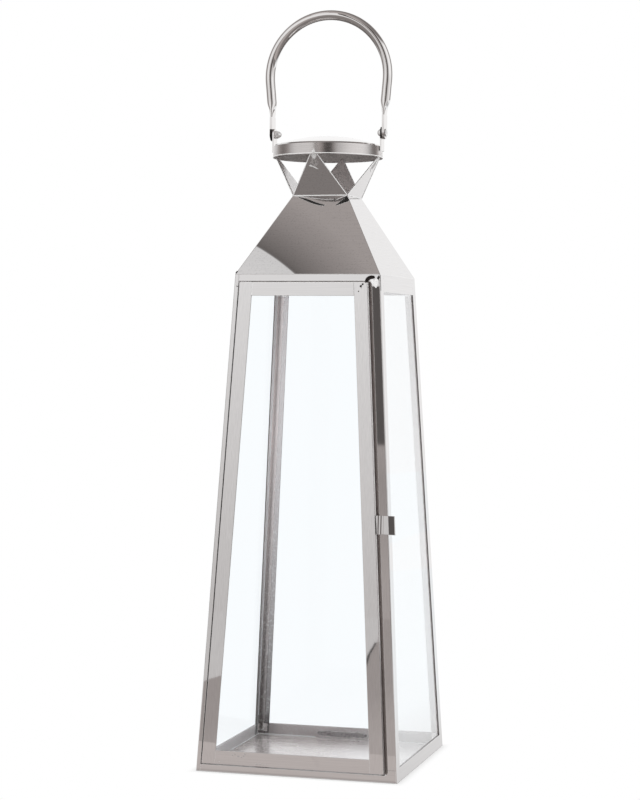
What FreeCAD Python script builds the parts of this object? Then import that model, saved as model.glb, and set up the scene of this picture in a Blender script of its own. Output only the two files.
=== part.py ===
"""Candle lantern of polished sheet, with a glazed door on pivot pins and a swinging bail handle.

Millimetres. The lantern stands on the XY plane with its axis on Z, its door faces -Y and its latch is at +X.
"""
import FreeCAD, Part
import math
import os
import re
import Sketcher

Vector = FreeCAD.Vector

SIZES = {
    # Four-sided body that leans inward from its foot to its eave.
    "base_width": 200.0,
    "eave_width": 144.8,
    "eave_height": 480.0,
    "gauge": 1.0,             # sheet thickness of posts, rails, roof and door
    "seam": 0.05,             # solder seam between butted pieces
    "post_flange": 12.5,      # width of a corner post on a glazed side
    "post_fold": 1.0,         # outer fold radius of a corner post
    "hinge_flange": 4.2,      # width of the left post on the front
    "latch_flange": 8.5,      # width of the right post on the front
    "sill_height": 13.0,
    "rail_height": 17.0,
    "floor_gauge": 1.0,
    "floor_play": 0.1,
    # Front: threshold and header with inward lips for the door's pivots.
    "threshold_height": 6.9,
    "header_height": 6.6,
    "lip_depth": 7.0,
    "corner_tab": 5.0,        # tab at the latch end that meets the post's flange
    "corner_round": 4.0,
    # Panes and their clips.
    "glass_gauge": 2.0,
    "pane_edge": 8.0,         # from the body's corner to the pane's edge
    "pane_lap": 8.0,          # pane behind the eave rail
    "pane_rest": 0.2,         # clearance under a pane
    "clip_width": 8.0,
    "clip_gauge": 0.8,
    "clip_start": 2.0,        # from the body's corner to the clip's foot
    "clip_play": 0.2,         # from the clip to the pane's edge
    "clip_rest": 0.05,        # from the clip to the pane's back
    "clip_lap": 3.5,          # clip over the pane
    "clip_rise": 9.0,         # lower clips above the foot
    "clip_drop": 14.0,        # upper clips below the eave
    # Door of folded strips.
    "door_hinge_gap": 1.0,
    "door_latch_gap": 4.5,
    "door_end_gap": 0.8,
    "door_strip": 13.2,
    "door_depth": 5.5,
    "door_pane_edge": 6.5,
    "door_clip_start": 1.3,
    "door_clip_inset": 30.0,
    # Stop strip that the door closes on.
    "stop_edge": 6.0,         # from the body's corner to the stop
    "stop_width": 10.0,
    "stop_play": 0.2,         # between the door's return and the stop
    # Pivot pins of the door.
    "pivot_inset": 2.8,
    "pivot_depth": 2.6,
    "pin_diameter": 2.0,
    "pin_play": 0.05,
    "pin_reach": 2.0,         # pin beyond the door's return
    "pin_head_diameter": 3.0,
    "pin_head_height": 0.8,
    "pin_rest": 0.15,
    # Latch strip.
    "latch_level": 242.2,
    "latch_height": 17.8,
    "latch_gauge": 1.0,
    "latch_root": 5.0,        # leg beside the door's return
    "latch_bend": 1.2,
    "latch_rest": 0.05,
    "latch_past": 0.5,        # flat part beyond the body's corner
    "latch_flare": 8.5,
    "latch_flare_angle": 32.0,
    # Roof plates folded outward at the neck.
    "neck_width": 55.2,
    "roof_rise": 78.6,
    "vent_height": 38.4,
    "roof_fold": 1.2,
    "petal_tip": 4.0,
    "petal_lap": 2.0,         # petal inside the cap's band
    "petal_seat": 0.05,
    # Cap.
    "cap_diameter": 108.8,
    "cap_band": 12.3,
    "cap_dome": 9.0,
    "cap_gauge": 1.0,
    "cap_edge": 1.5,
    # Ears and rivets that carry the handle.
    "ear_width": 12.0,
    "ear_gauge": 1.5,
    "ear_foot": 6.0,          # ear below the top of the band
    "pivot_rise": 12.0,       # handle pivot above the top of the band
    "rivet_diameter": 5.0,
    "rivet_play": 0.05,
    "rivet_head_diameter": 8.0,
    "rivet_head_height": 4.0,
    "rivet_bevel": 2.0,
    "rivet_tail_diameter": 7.6,
    "rivet_tail_height": 1.0,
    "rivet_rest": 0.15,
    # Bail handle.
    "tube_diameter": 9.8,
    "handle_play": 0.3,       # between an ear and a blade
    "handle_bulge": 2.8,      # arch wider than the blades
    "handle_leg": 56.8,       # from the pivot up to the arch's centre
    "blade_gauge": 2.4,
    "blade_width": 12.6,
    "blade_reach": 22.0,      # flat part above the pivot
    "flatten_length": 15.0,   # tube pressed thinner and thinner above the flat part
    "shoulder_length": 8.0,   # blade narrowing up to the tube
}


def cells(formula):
    """Writes a formula of size names as an expression on the sheet's cells."""
    return re.sub(r"[a-z_]+", lambda word: f"Sizes.{word[0]}" if word[0] in SIZES else word[0], formula)


def value_of(formula):
    """Value of a formula in millimetres or degrees."""
    value = sheet.evalExpression(cells(formula))
    return float(getattr(value, "Value", value))


# Levels and slopes that several pieces share, as formulas.
LEAN = "((base_width - eave_width) / 2 / eave_height)"
TILT = f"atan({LEAN})"
NECK_LEVEL = "(eave_height + roof_rise)"
CAP_LEVEL = f"({NECK_LEVEL} + vent_height)"
BAND_TOP = f"({CAP_LEVEL} + cap_band)"
PIVOT_LEVEL = f"({BAND_TOP} + pivot_rise)"
HEADER_LEVEL = "(eave_height - header_height)"
DOOR_BOTTOM = "(threshold_height + door_end_gap)"
DOOR_TOP = f"({HEADER_LEVEL} - door_end_gap)"
SILL_FOOT = f"(gauge * sin({TILT}))"
EAR_FACE = "(cap_diameter / 2 + seam)"


def half_at(level):
    """Half width of the body at a level."""
    return f"(base_width / 2 - {LEAN} * ({level}))"


def up_face(level):
    """Distance up a leaning face at a level."""
    return f"(({level}) / cos({TILT}))"


def from_left(level, distance):
    """Point of a face by its level and its distance from the left corner."""
    return f"-{half_at(level)} + {distance}", up_face(level)


def from_right(level, distance):
    """Point of a face by its level and its distance from the right corner."""
    return f"{half_at(level)} - ({distance})", up_face(level)


doc = FreeCAD.newDocument("CandleLantern")
sheet = doc.addObject("Spreadsheet::Sheet", "Sizes")
for row, (size_name, size) in enumerate(SIZES.items(), start=1):
    sheet.set(f"A{row}", size_name)
    sheet.set(f"B{row}", str(size))
    sheet.setAlias(f"B{row}", size_name)
doc.recompute()

nodes = []


def bind(thing, name, formula):
    """Ties a property to the sheet."""
    thing.setExpression(name, cells(formula))


def new_body(label, turn="0 deg", axis=Vector(0, 0, 1), base=("0", "0", "0")):
    """Empty body for one piece, turned about an axis through the origin and then moved to its base."""
    body = doc.addObject("PartDesign::Body", label)
    body.Label = label
    body.AllowCompound = True
    body.Placement = FreeCAD.Placement(Vector(), FreeCAD.Rotation(axis, value_of(turn)))
    for letter, formula in zip("xyz", base):
        bind(body, f"Placement.Base.{letter}", formula)
    if value_of(turn):
        bind(body, "Placement.Rotation.Angle", turn)
    nodes.append(body)
    return body


def origin_plane(body, role):
    """One of the three planes through a body's own origin."""
    return next(item for item in body.Origin.OriginFeatures if item.Role == role)


def attach(item, body, plane, base=("0", "0", "0"), axis=Vector(1, 0, 0), angle="0"):
    """Lays an item on an origin plane of its body, moved and turned within that plane's own axes."""
    item.AttachmentSupport = (origin_plane(body, plane), [""])
    item.MapMode = "FlatFace"
    start = Vector(*(value_of(formula) for formula in base))
    item.AttachmentOffset = FreeCAD.Placement(start, FreeCAD.Rotation(axis, value_of(angle)))
    for letter, formula in zip("xyz", base):
        bind(item, f"AttachmentOffset.Base.{letter}", formula)
    if value_of(angle):
        bind(item, "AttachmentOffset.Rotation.Angle", angle)


def new_sketch(body, plane, base=("0", "0", "0"), axis=Vector(1, 0, 0), angle="0"):
    """Sketch on an origin plane of a body, moved and turned within that plane's own axes."""
    sketch = body.newObject("Sketcher::SketchObject", f"{body.Name}_sketch")
    attach(sketch, body, plane, base, axis, angle)
    return sketch


def face_sketch(body, depth="0"):
    """Sketch in the plane of the leaning front face, or a depth behind it."""
    base = ("0", f"-({depth}) * sin({TILT})", f"base_width / 2 - ({depth}) * cos({TILT})")
    return new_sketch(body, "XZ_Plane", base, Vector(1, 0, 0), f"-{TILT}")


def place_point(sketch, piece, end, point, place):
    """Holds one end of a sketch line at a point given by two formulas."""
    for kind, formula, value in zip(("DistanceX", "DistanceY"), point, place):
        index = sketch.addConstraint(Sketcher.Constraint(kind, -1, 1, piece, end, value))
        bind(sketch, f"Constraints[{index}]", formula)


def draw(sketch, points, arcs=None, closed=True):
    """Draws lines and arcs through points.

    arcs maps the number of a stretch to its radius and to the side of its centre, "left" or "right".
    """
    arcs = arcs or {}
    places = [tuple(value_of(formula) for formula in point) for point in points]
    count = len(points) if closed else len(points) - 1
    ends = []
    for number in range(count):
        start = Vector(*places[number], 0)
        finish = Vector(*places[(number + 1) % len(points)], 0)
        if number not in arcs:
            piece = sketch.addGeometry(Part.LineSegment(start, finish))
            ends.append((piece, 1, 2))
            continue
        radius_formula, side = arcs[number]
        radius = value_of(radius_formula)
        chord = finish - start
        across = Vector(-chord.y, chord.x, 0).normalize()
        reach = math.sqrt(max(radius ** 2 - (chord.Length / 2) ** 2, 0.0))
        sign = 1 if side == "left" else -1
        centre = (start + finish) / 2 + across * reach * sign
        first, last = (start, finish) if side == "left" else (finish, start)
        angles = [math.atan2(end.y - centre.y, end.x - centre.x) for end in (first, last)]
        piece = sketch.addGeometry(Part.ArcOfCircle(Part.Circle(centre, Vector(0, 0, 1), radius), *angles))
        ends.append((piece, 1, 2) if side == "left" else (piece, 2, 1))
        index = sketch.addConstraint(Sketcher.Constraint("Radius", piece, radius))
        bind(sketch, f"Constraints[{index}]", radius_formula)
    for number in range(count if closed else count - 1):
        piece, _, finish_end = ends[number]
        next_piece, next_start, _ = ends[(number + 1) % count]
        sketch.addConstraint(Sketcher.Constraint("Coincident", piece, finish_end, next_piece, next_start))
    for number in range(count):
        piece, start_end, _ = ends[number]
        place_point(sketch, piece, start_end, points[number], places[number])
    if not closed:
        piece, _, finish_end = ends[-1]
        place_point(sketch, piece, finish_end, points[-1], places[-1])


def draw_circle(sketch, point, radius):
    """Draws a circle about a point given by two formulas."""
    place = tuple(value_of(formula) for formula in point)
    piece = sketch.addGeometry(Part.Circle(Vector(*place, 0), Vector(0, 0, 1), value_of(radius)))
    index = sketch.addConstraint(Sketcher.Constraint("Radius", piece, value_of(radius)))
    bind(sketch, f"Constraints[{index}]", radius)
    place_point(sketch, piece, 3, point, place)


def pad(body, sketch, length, inward=True, symmetric=False):
    """Pads a sketch; inward is against the sketch's normal."""
    feature = body.newObject("PartDesign::Pad", f"{body.Name}_pad")
    feature.Profile = sketch
    feature.Reversed = inward and not symmetric
    if symmetric:
        feature.SideType = "Symmetric"
    bind(feature, "Length", length)
    return feature


def pad_along(body, sketch, length, run, symmetric=False):
    """Pads a sketch upward along a leaning direction, so that its sides stay in the leaning faces."""
    feature = pad(body, sketch, length, inward=False, symmetric=symmetric)
    feature.UseCustomVector = True
    feature.AlongSketchNormal = True
    feature.Direction = Vector(*(value_of(formula) for formula in run), 1)
    for letter, formula in zip("xy", run):
        bind(feature, f"Direction.{letter}", formula)
    return feature


def cut(body, sketch, depth=None, against=True, both=False):
    """Pockets a sketch, right through if no depth is given; against is against the sketch's normal."""
    feature = body.newObject("PartDesign::Pocket", f"{body.Name}_cut")
    feature.Profile = sketch
    if both:
        feature.SideType = "Symmetric"
    else:
        feature.Reversed = not against
    if depth:
        bind(feature, "Length", depth)
    else:
        feature.Type = "ThroughAll"
    return feature


def revolve(body, sketch):
    """Turns a half profile about the sketch's upright axis."""
    feature = body.newObject("PartDesign::Revolution", f"{body.Name}_turned")
    feature.Profile = sketch
    feature.ReferenceAxis = (sketch, ["V_Axis"])
    feature.Angle = 360
    return feature


def round_edge(body, radius, first, last):
    """Fillets the edge of a body's last feature that runs between two points."""
    doc.recompute()
    base = body.Tip
    tolerance = 1e-4
    names = []
    for number, edge in enumerate(base.Shape.Edges, start=1):
        ends = [end.Point for end in edge.Vertexes]
        if all(min((end - first).Length, (end - last).Length) < tolerance for end in ends):
            names.append(f"Edge{number}")
    feature = body.newObject("PartDesign::Fillet", f"{body.Name}_fillet")
    feature.Base = (base, names)
    bind(feature, "Radius", radius)
    return feature


# Corner posts: folded angles whose outer faces lie in the leaning faces of the body.
def corner_post(label, side_x, side_y, flange_x, flange_y):
    """Angle at one corner; flange_x lies in the front or back face, flange_y in a side face."""
    body = new_body(label)
    sketch = new_sketch(body, "XY_Plane")

    def corner(inset_x, inset_y):
        return f"{side_x} * (base_width / 2 - {inset_x})", f"{side_y} * (base_width / 2 - {inset_y})"

    draw(sketch, [
        corner("0", "0"),
        corner(flange_x, "0"),
        corner(flange_x, "gauge"),
        corner("gauge", "gauge"),
        corner("gauge", flange_y),
        corner("0", flange_y),
    ])
    pad_along(body, sketch, "eave_height", (f"-({side_x}) * {LEAN}", f"-({side_y}) * {LEAN}"))
    half_base = value_of("base_width / 2")
    half_eave = value_of("eave_width / 2")
    foot = Vector(side_x * half_base, side_y * half_base, 0)
    head = Vector(side_x * half_eave, side_y * half_eave, value_of("eave_height"))
    round_edge(body, "post_fold", foot, head)
    return body


corner_post("post_front_left", -1, -1, "hinge_flange", "post_flange")
corner_post("post_back_right", 1, 1, "post_flange", "post_flange")
corner_post("post_back_left", -1, 1, "post_flange", "post_flange")
latch_post = corner_post("post_front_right", 1, -1, "latch_flange", "post_flange")

# The latch post's front flange makes room for the tabs of the threshold and the header.
TAB_TOP = "(threshold_height + corner_tab + seam)"
TAB_BOTTOM = f"({HEADER_LEVEL} - corner_tab - seam)"
NOTCH_EDGE = "(gauge + seam)"
NOTCH_DEPTH = "3 * gauge"  # from one gauge before the flange to one gauge behind it
for low, high in (("-gauge", TAB_TOP), (TAB_BOTTOM, "eave_height + gauge")):
    notch = face_sketch(latch_post, "-gauge")
    draw(notch, [
        from_right(low, "latch_flange + gauge"),
        from_right(low, NOTCH_EDGE),
        from_right(high, NOTCH_EDGE),
        from_right(high, "latch_flange + gauge"),
    ])
    cut(latch_post, notch, NOTCH_DEPTH)


# Sills and eave rails of the three glazed sides, butted between the posts.
def side_strip(label, turn, low, high):
    """Strip in a leaning face between two posts."""
    body = new_body(label, turn)
    sketch = face_sketch(body)
    draw(sketch, [
        from_left(low, "post_flange + seam"),
        from_right(low, "post_flange + seam"),
        from_right(high, "post_flange + seam"),
        from_left(high, "post_flange + seam"),
    ])
    pad(body, sketch, "gauge")


SIDES = {"right": "90 deg", "back": "180 deg", "left": "270 deg"}
for side, turn in SIDES.items():
    side_strip(f"sill_{side}", turn, SILL_FOOT, "sill_height")
    side_strip(f"eave_rail_{side}", turn, "eave_height - rail_height", "eave_height")


# The hinge line of the door is parallel to the front left corner.
AXIS_TURN = f"atan(sqrt(2) * {LEAN})"
AXIS_SIDE = Vector(-1, 1, 0)
AXIS_FOOT = (
    "-base_width / 2 + hinge_flange + door_hinge_gap + pivot_inset",
    f"-base_width / 2 + pivot_depth * cos({TILT})",
    f"-pivot_depth * sin({TILT})",
)


def pivot_hole(body):
    """Drills a body along the hinge line."""
    sketch = new_sketch(body, "XY_Plane", AXIS_FOOT, AXIS_SIDE, AXIS_TURN)
    draw_circle(sketch, ("0", "0"), "pin_diameter / 2 + pin_play")
    cut(body, sketch, against=False)


# Threshold and header: strips with an inward lip along the door and a rounded tab at the latch end.
def front_strip(label, foot, edge, tab, lip):
    """Front strip from its foot level to its edge beside the door, with its tab's end and its lip's level."""
    body = new_body(label)
    outline = face_sketch(body)
    draw(outline, [
        from_left(foot, "hinge_flange + seam"),
        from_right(foot, f"{NOTCH_EDGE} + seam"),
        from_right(tab, f"{NOTCH_EDGE} + seam"),
        from_right(tab, "latch_flange"),
        from_right(edge, "latch_flange"),
        from_left(edge, "hinge_flange + seam"),
    ])
    pad(body, outline, "gauge")
    inner_x, inner_up = (value_of(formula) for formula in from_right(edge, "latch_flange"))
    tilt = math.radians(value_of(TILT))
    inner = Vector(inner_x, inner_up * math.sin(tilt) - value_of("base_width / 2"), inner_up * math.cos(tilt))
    behind = inner + Vector(0, math.cos(tilt), -math.sin(tilt)) * value_of("gauge")
    round_edge(body, "corner_round", inner, behind)
    shelf = face_sketch(body)
    draw(shelf, [
        from_left(edge, "hinge_flange + seam"),
        from_right(edge, "latch_flange + door_latch_gap"),
        from_right(lip, "latch_flange + door_latch_gap"),
        from_left(lip, "hinge_flange + seam"),
    ])
    pad(body, shelf, "lip_depth")
    pivot_hole(body)


front_strip(
    "threshold",
    SILL_FOOT,
    "threshold_height",
    "threshold_height + corner_tab",
    "threshold_height - gauge",
)
front_strip(
    "header",
    "eave_height",
    HEADER_LEVEL,
    f"{HEADER_LEVEL} - corner_tab",
    f"{HEADER_LEVEL} + gauge",
)

# Floor plate, inside the sills and posts.
FLOOR_HALF = f"({half_at('floor_gauge')} - gauge / cos({TILT}) - floor_play)"
floor_plate = new_body("floor_plate")
floor_outline = new_sketch(floor_plate, "XY_Plane")
draw(floor_outline, [
    (f"-{FLOOR_HALF}", f"-{FLOOR_HALF}"),
    (FLOOR_HALF, f"-{FLOOR_HALF}"),
    (FLOOR_HALF, FLOOR_HALF),
    (f"-{FLOOR_HALF}", FLOOR_HALF),
])
pad(floor_plate, floor_outline, "floor_gauge", inward=False)


# Panes and clips: glass behind the strips, held by bent clips on both upright edges.
def pane(body, low, high, left, right):
    """Glass behind a sheet frame, between two levels."""
    sketch = face_sketch(body, "gauge")
    draw(sketch, [
        from_left(low, left),
        from_right(low, right),
        from_right(high, right),
        from_left(high, left),
    ])
    pad(body, sketch, "glass_gauge")


def clips(body, levels, edges, start, glass_edge):
    """Bent clips: a foot on the sheet, a step at the glass's edge and a tongue over its back."""
    step_end = f"{glass_edge} - clip_play"
    step_start = f"{step_end} - clip_gauge"
    tongue_end = f"{glass_edge} + clip_lap"
    stack = "glass_gauge + clip_rest + clip_gauge"
    parts = (
        (start, step_end, "gauge", "clip_gauge"),
        (step_start, step_end, "gauge", stack),
        (step_start, tongue_end, "gauge + glass_gauge + clip_rest", "clip_gauge"),
    )
    for near_end, far_end, depth, thickness in parts:
        sketch = face_sketch(body, depth)
        for level in levels:
            low = f"{level} - clip_width / 2"
            high = f"{level} + clip_width / 2"
            for from_edge, offset in edges:
                first = f"{offset} + {near_end}"
                second = f"{offset} + {far_end}"
                draw(sketch, [
                    from_edge(low, first),
                    from_edge(low, second),
                    from_edge(high, second),
                    from_edge(high, first),
                ])
        pad(body, sketch, thickness)


PANE_BOTTOM = f"(floor_gauge + pane_rest + (gauge + glass_gauge) * sin({TILT}))"
PANE_TOP = "(eave_height - rail_height + pane_lap)"
CLIP_LEVELS = ("clip_rise", "(eave_height - clip_drop)")
BODY_EDGES = ((from_left, "0"), (from_right, "0"))
for side, turn in SIDES.items():
    pane(new_body(f"pane_{side}", turn), PANE_BOTTOM, PANE_TOP, "pane_edge", "pane_edge")
    clips(new_body(f"pane_clips_{side}", turn), CLIP_LEVELS, BODY_EDGES, "clip_start", "pane_edge")

# Door: stiles of full height with rails butted between them, each folded back along its outer edge.
HINGE_EDGE = "hinge_flange + door_hinge_gap"
LATCH_EDGE = "latch_flange + door_latch_gap"


def door_stile(label, from_edge, edge):
    """Upright strip of the door with a return along its outer edge."""
    body = new_body(label)
    for width, depth in (("door_strip", "gauge"), ("gauge", "door_depth")):
        sketch = face_sketch(body)
        draw(sketch, [
            from_edge(DOOR_BOTTOM, edge),
            from_edge(DOOR_BOTTOM, f"{edge} + {width}"),
            from_edge(DOOR_TOP, f"{edge} + {width}"),
            from_edge(DOOR_TOP, edge),
        ])
        pad(body, sketch, depth)


def door_rail(label, edge, inner, lip):
    """Level strip of the door with a return along its outer edge, pierced for the pivot pin."""
    body = new_body(label)
    stretches = (
        (inner, "door_strip + seam", "0", "gauge"),
        (lip, "gauge + seam", "gauge", "door_depth - gauge"),
    )
    for far_level, inset, depth, thickness in stretches:
        sketch = face_sketch(body, depth)
        draw(sketch, [
            from_left(edge, f"{HINGE_EDGE} + {inset}"),
            from_right(edge, f"{LATCH_EDGE} + {inset}"),
            from_right(far_level, f"{LATCH_EDGE} + {inset}"),
            from_left(far_level, f"{HINGE_EDGE} + {inset}"),
        ])
        pad(body, sketch, thickness)
    pivot_hole(body)


door_stile("door_stile_hinge", from_left, HINGE_EDGE)
door_stile("door_stile_latch", from_right, LATCH_EDGE)
door_rail("door_rail_bottom", DOOR_BOTTOM, f"{DOOR_BOTTOM} + door_strip", f"{DOOR_BOTTOM} + gauge")
door_rail("door_rail_top", DOOR_TOP, f"{DOOR_TOP} - door_strip", f"{DOOR_TOP} - gauge")
pane(
    new_body("door_pane"),
    f"{DOOR_BOTTOM} + gauge + pane_rest",
    f"{DOOR_TOP} - door_pane_edge",
    f"{HINGE_EDGE} + door_pane_edge",
    f"{LATCH_EDGE} + door_pane_edge",
)
clips(
    new_body("door_clips"),
    (f"({DOOR_BOTTOM} + door_clip_inset)", f"({DOOR_TOP} - door_clip_inset)"),
    ((from_left, HINGE_EDGE), (from_right, LATCH_EDGE)),
    "door_clip_start",
    "door_pane_edge",
)

# Door stop: a flat strip behind the gap at the latch, from the threshold's lip to the header's.
STOP_BOTTOM = "threshold_height + seam"
STOP_TOP = f"{HEADER_LEVEL} - seam"
door_stop = new_body("door_stop")
stop_outline = face_sketch(door_stop, "door_depth + stop_play")
draw(stop_outline, [
    from_right(STOP_BOTTOM, "stop_edge"),
    from_right(STOP_BOTTOM, "stop_edge + stop_width"),
    from_right(STOP_TOP, "stop_edge + stop_width"),
    from_right(STOP_TOP, "stop_edge"),
])
pad(door_stop, stop_outline, "gauge")


# Pivot pins: headed pins held in the lips of the threshold and the header.
def pivot_pin(label, level, upward):
    """Pin that stands on its lip's door side, along the hinge line; upward is 1 or -1."""
    runs = (LEAN, LEAN, "1")
    base = [f"{foot} + {run} * {level}" for foot, run in zip(AXIS_FOOT, runs)]
    body = new_body(label, AXIS_TURN, AXIS_SIDE, base)
    sketch = new_sketch(body, "XZ_Plane")
    shank = "pin_diameter / 2"
    head = "pin_head_diameter / 2"
    head_seat = f"{-upward} * (gauge + pin_rest)"
    draw(sketch, [
        ("0", f"{-upward} * (gauge + pin_rest + pin_head_height)"),
        (head, f"{-upward} * (gauge + pin_rest + pin_head_height)"),
        (head, head_seat),
        (shank, head_seat),
        (shank, f"{upward} * (door_end_gap + gauge + pin_reach)"),
        ("0", f"{upward} * (door_end_gap + gauge + pin_reach)"),
    ])
    revolve(body, sketch)


pivot_pin("pivot_pin_bottom", "threshold_height", 1)
pivot_pin("pivot_pin_top", HEADER_LEVEL, -1)

# Latch: a strip beside the door's return that turns over the post's flange and flares outward for a finger.
LATCH_START = f"({half_at('latch_level')} - ({LATCH_EDGE}))"
latch = new_body("latch")
latch_base = ("0", f"-{half_at('latch_level')}", "latch_level")
latch_profile = new_sketch(latch, "XY_Plane", latch_base, Vector(1, 0, 0), f"-{TILT}")
LEG_INNER = f"({LATCH_START} + seam)"
LEG_OUTER = f"({LEG_INNER} + latch_gauge)"
FLAT_END = f"({half_at('latch_level')} + latch_past)"
UNDER = "(-latch_rest)"
OVER = "(-latch_rest - latch_gauge)"
FLARE_OUT = "(latch_flare * cos(latch_flare_angle))"
FLARE_RISE = "(latch_flare * sin(latch_flare_angle))"
FLARE_SHIFT = "(latch_gauge * tan(latch_flare_angle / 2))"
draw(latch_profile, [
    (LEG_INNER, "latch_root"),
    (LEG_OUTER, "latch_root"),
    (LEG_OUTER, f"{UNDER} + latch_bend"),
    (f"{LEG_OUTER} + latch_bend", UNDER),
    (FLAT_END, UNDER),
    (f"{FLAT_END} + {FLARE_OUT}", f"{UNDER} - {FLARE_RISE}"),
    (
        f"{FLAT_END} + {FLARE_OUT} - latch_gauge * sin(latch_flare_angle)",
        f"{UNDER} - {FLARE_RISE} - latch_gauge * cos(latch_flare_angle)",
    ),
    (f"{FLAT_END} - {FLARE_SHIFT}", OVER),
    (f"{LEG_OUTER} + latch_bend", OVER),
    (LEG_INNER, f"{UNDER} + latch_bend"),
], arcs={2: ("latch_bend", "left"), 8: ("latch_bend + latch_gauge", "right")})
pad_along(latch, latch_profile, "latch_height", (f"-{LEAN}", LEAN), symmetric=True)

# Roof plates: a trapezoid that rises to the neck and folds outward there into a petal under the cap.
ROOF_LEAN = "atan((eave_width - neck_width) / 2 / roof_rise)"
BAND_INSIDE = "(cap_diameter / 2 - cap_gauge)"
TIP_OUT = f"(sqrt({BAND_INSIDE} * {BAND_INSIDE} - petal_tip * petal_tip / 4) - petal_seat)"
TIP_LEVEL = f"({CAP_LEVEL} + petal_lap)"
PETAL_LEAN = f"atan(({TIP_OUT} - neck_width / 2) / ({TIP_LEVEL} - {NECK_LEVEL}))"
FOLD_TURN = f"(({ROOF_LEAN} + {PETAL_LEAN}) / 2)"
FOLD_SHARE = f"(gauge / (1 + cos({ROOF_LEAN} + {PETAL_LEAN})))"
OUTER_RUN = f"(roof_fold * tan({FOLD_TURN}))"
INNER_RUN = f"((roof_fold + gauge) * tan({FOLD_TURN}))"
INNER_FOLD = (
    f"(-neck_width / 2 + {FOLD_SHARE} * (cos({ROOF_LEAN}) + cos({PETAL_LEAN})))",
    f"({NECK_LEVEL} + {FOLD_SHARE} * (sin({PETAL_LEAN}) - sin({ROOF_LEAN})))",
)
OUTER_FOLD = ("(-neck_width / 2)", NECK_LEVEL)
HIP_START = "neck_width / 4"  # the cuts along the hips start inside the neck


def below(fold, run):
    """Point on the roof plate, a run below a fold."""
    return f"{fold[0]} - {run} * sin({ROOF_LEAN})", f"{fold[1]} - {run} * cos({ROOF_LEAN})"


def above(fold, run):
    """Point on the petal, a run above a fold."""
    return f"{fold[0]} - {run} * sin({PETAL_LEAN})", f"{fold[1]} + {run} * cos({PETAL_LEAN})"


def roof_plate(label, turn):
    """Folded roof plate, cut to the hips in plan and to the petal's point from the front."""
    body = new_body(label, turn)
    section = new_sketch(body, "YZ_Plane")
    draw(section, [
        ("-eave_width / 2", "eave_height"),
        below(OUTER_FOLD, OUTER_RUN),
        above(OUTER_FOLD, OUTER_RUN),
        (f"-{TIP_OUT}", TIP_LEVEL),
        (f"-{TIP_OUT}", f"{TIP_LEVEL} + gauge / sin({PETAL_LEAN})"),
        above(INNER_FOLD, INNER_RUN),
        below(INNER_FOLD, INNER_RUN),
        (f"-eave_width / 2 + gauge / cos({ROOF_LEAN})", "eave_height"),
    ], arcs={1: ("roof_fold", "left"), 5: ("roof_fold + gauge", "right")})
    pad(body, section, "eave_width", symmetric=True)

    hips = new_sketch(body, "XY_Plane")
    for sign in ("", "-"):
        draw(hips, [
            (f"{sign}{HIP_START}", f"-{HIP_START}"),
            (f"{sign}eave_width", f"-{HIP_START}"),
            (f"{sign}eave_width", "-eave_width"),
        ])
    cut(body, hips, against=False)

    point = new_sketch(body, "XZ_Plane")
    over = f"(gauge / sin({PETAL_LEAN}) + gauge)"
    taper = f"((neck_width - petal_tip) / 2 / ({TIP_LEVEL} - {NECK_LEVEL}))"
    for sign in ("", "-"):
        draw(point, [
            (f"{sign}neck_width / 2", NECK_LEVEL),
            (f"{sign}(petal_tip / 2 - {taper} * {over})", f"{TIP_LEVEL} + {over}"),
            (f"{sign}eave_width", f"{TIP_LEVEL} + {over}"),
            (f"{sign}eave_width", NECK_LEVEL),
        ])
    cut(body, point, both=True)


roof_plate("roof_plate_front", "0 deg")
for side, turn in SIDES.items():
    roof_plate(f"roof_plate_{side}", turn)

# Cap: a low dome, part of a large ball with level poles, on a turned band that stands over the petals.
CAP_SHOULDER = "(cap_diameter / 2 - cap_edge)"
DOME_RADIUS = f"(({CAP_SHOULDER} * {CAP_SHOULDER} + cap_dome * cap_dome) / (2 * cap_dome))"
DOME_CENTRE = f"({BAND_TOP} + cap_dome - {DOME_RADIUS})"
HOLLOW = "(cap_dome - cap_gauge)"
HOLLOW_SHOULDER = f"sqrt(2 * {DOME_RADIUS} * {HOLLOW} - {HOLLOW} * {HOLLOW})"
cap = new_body("cap")


def dome_ball(kind, level):
    """Ball of the dome's radius about a level of the lantern's axis, Additive or Subtractive."""
    ball = cap.newObject(f"PartDesign::{kind}Sphere", f"cap_{kind.lower()}_ball")
    attach(ball, cap, "XZ_Plane", ("0", level, "0"))
    bind(ball, "Radius", DOME_RADIUS)


dome_ball("Additive", DOME_CENTRE)
below_dome = new_sketch(cap, "XY_Plane", ("0", "0", BAND_TOP))
draw_circle(below_dome, ("0", "0"), f"2 * {DOME_RADIUS}")
cut(cap, below_dome)
dome_ball("Subtractive", f"{DOME_CENTRE} - cap_gauge")
band = new_sketch(cap, "XZ_Plane")
draw(band, [
    ("cap_diameter / 2", CAP_LEVEL),
    ("cap_diameter / 2", f"{BAND_TOP} - cap_edge"),
    (CAP_SHOULDER, BAND_TOP),
    (HOLLOW_SHOULDER, BAND_TOP),
    (BAND_INSIDE, f"{BAND_TOP} - cap_edge"),
    (BAND_INSIDE, CAP_LEVEL),
])
revolve(cap, band)


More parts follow.
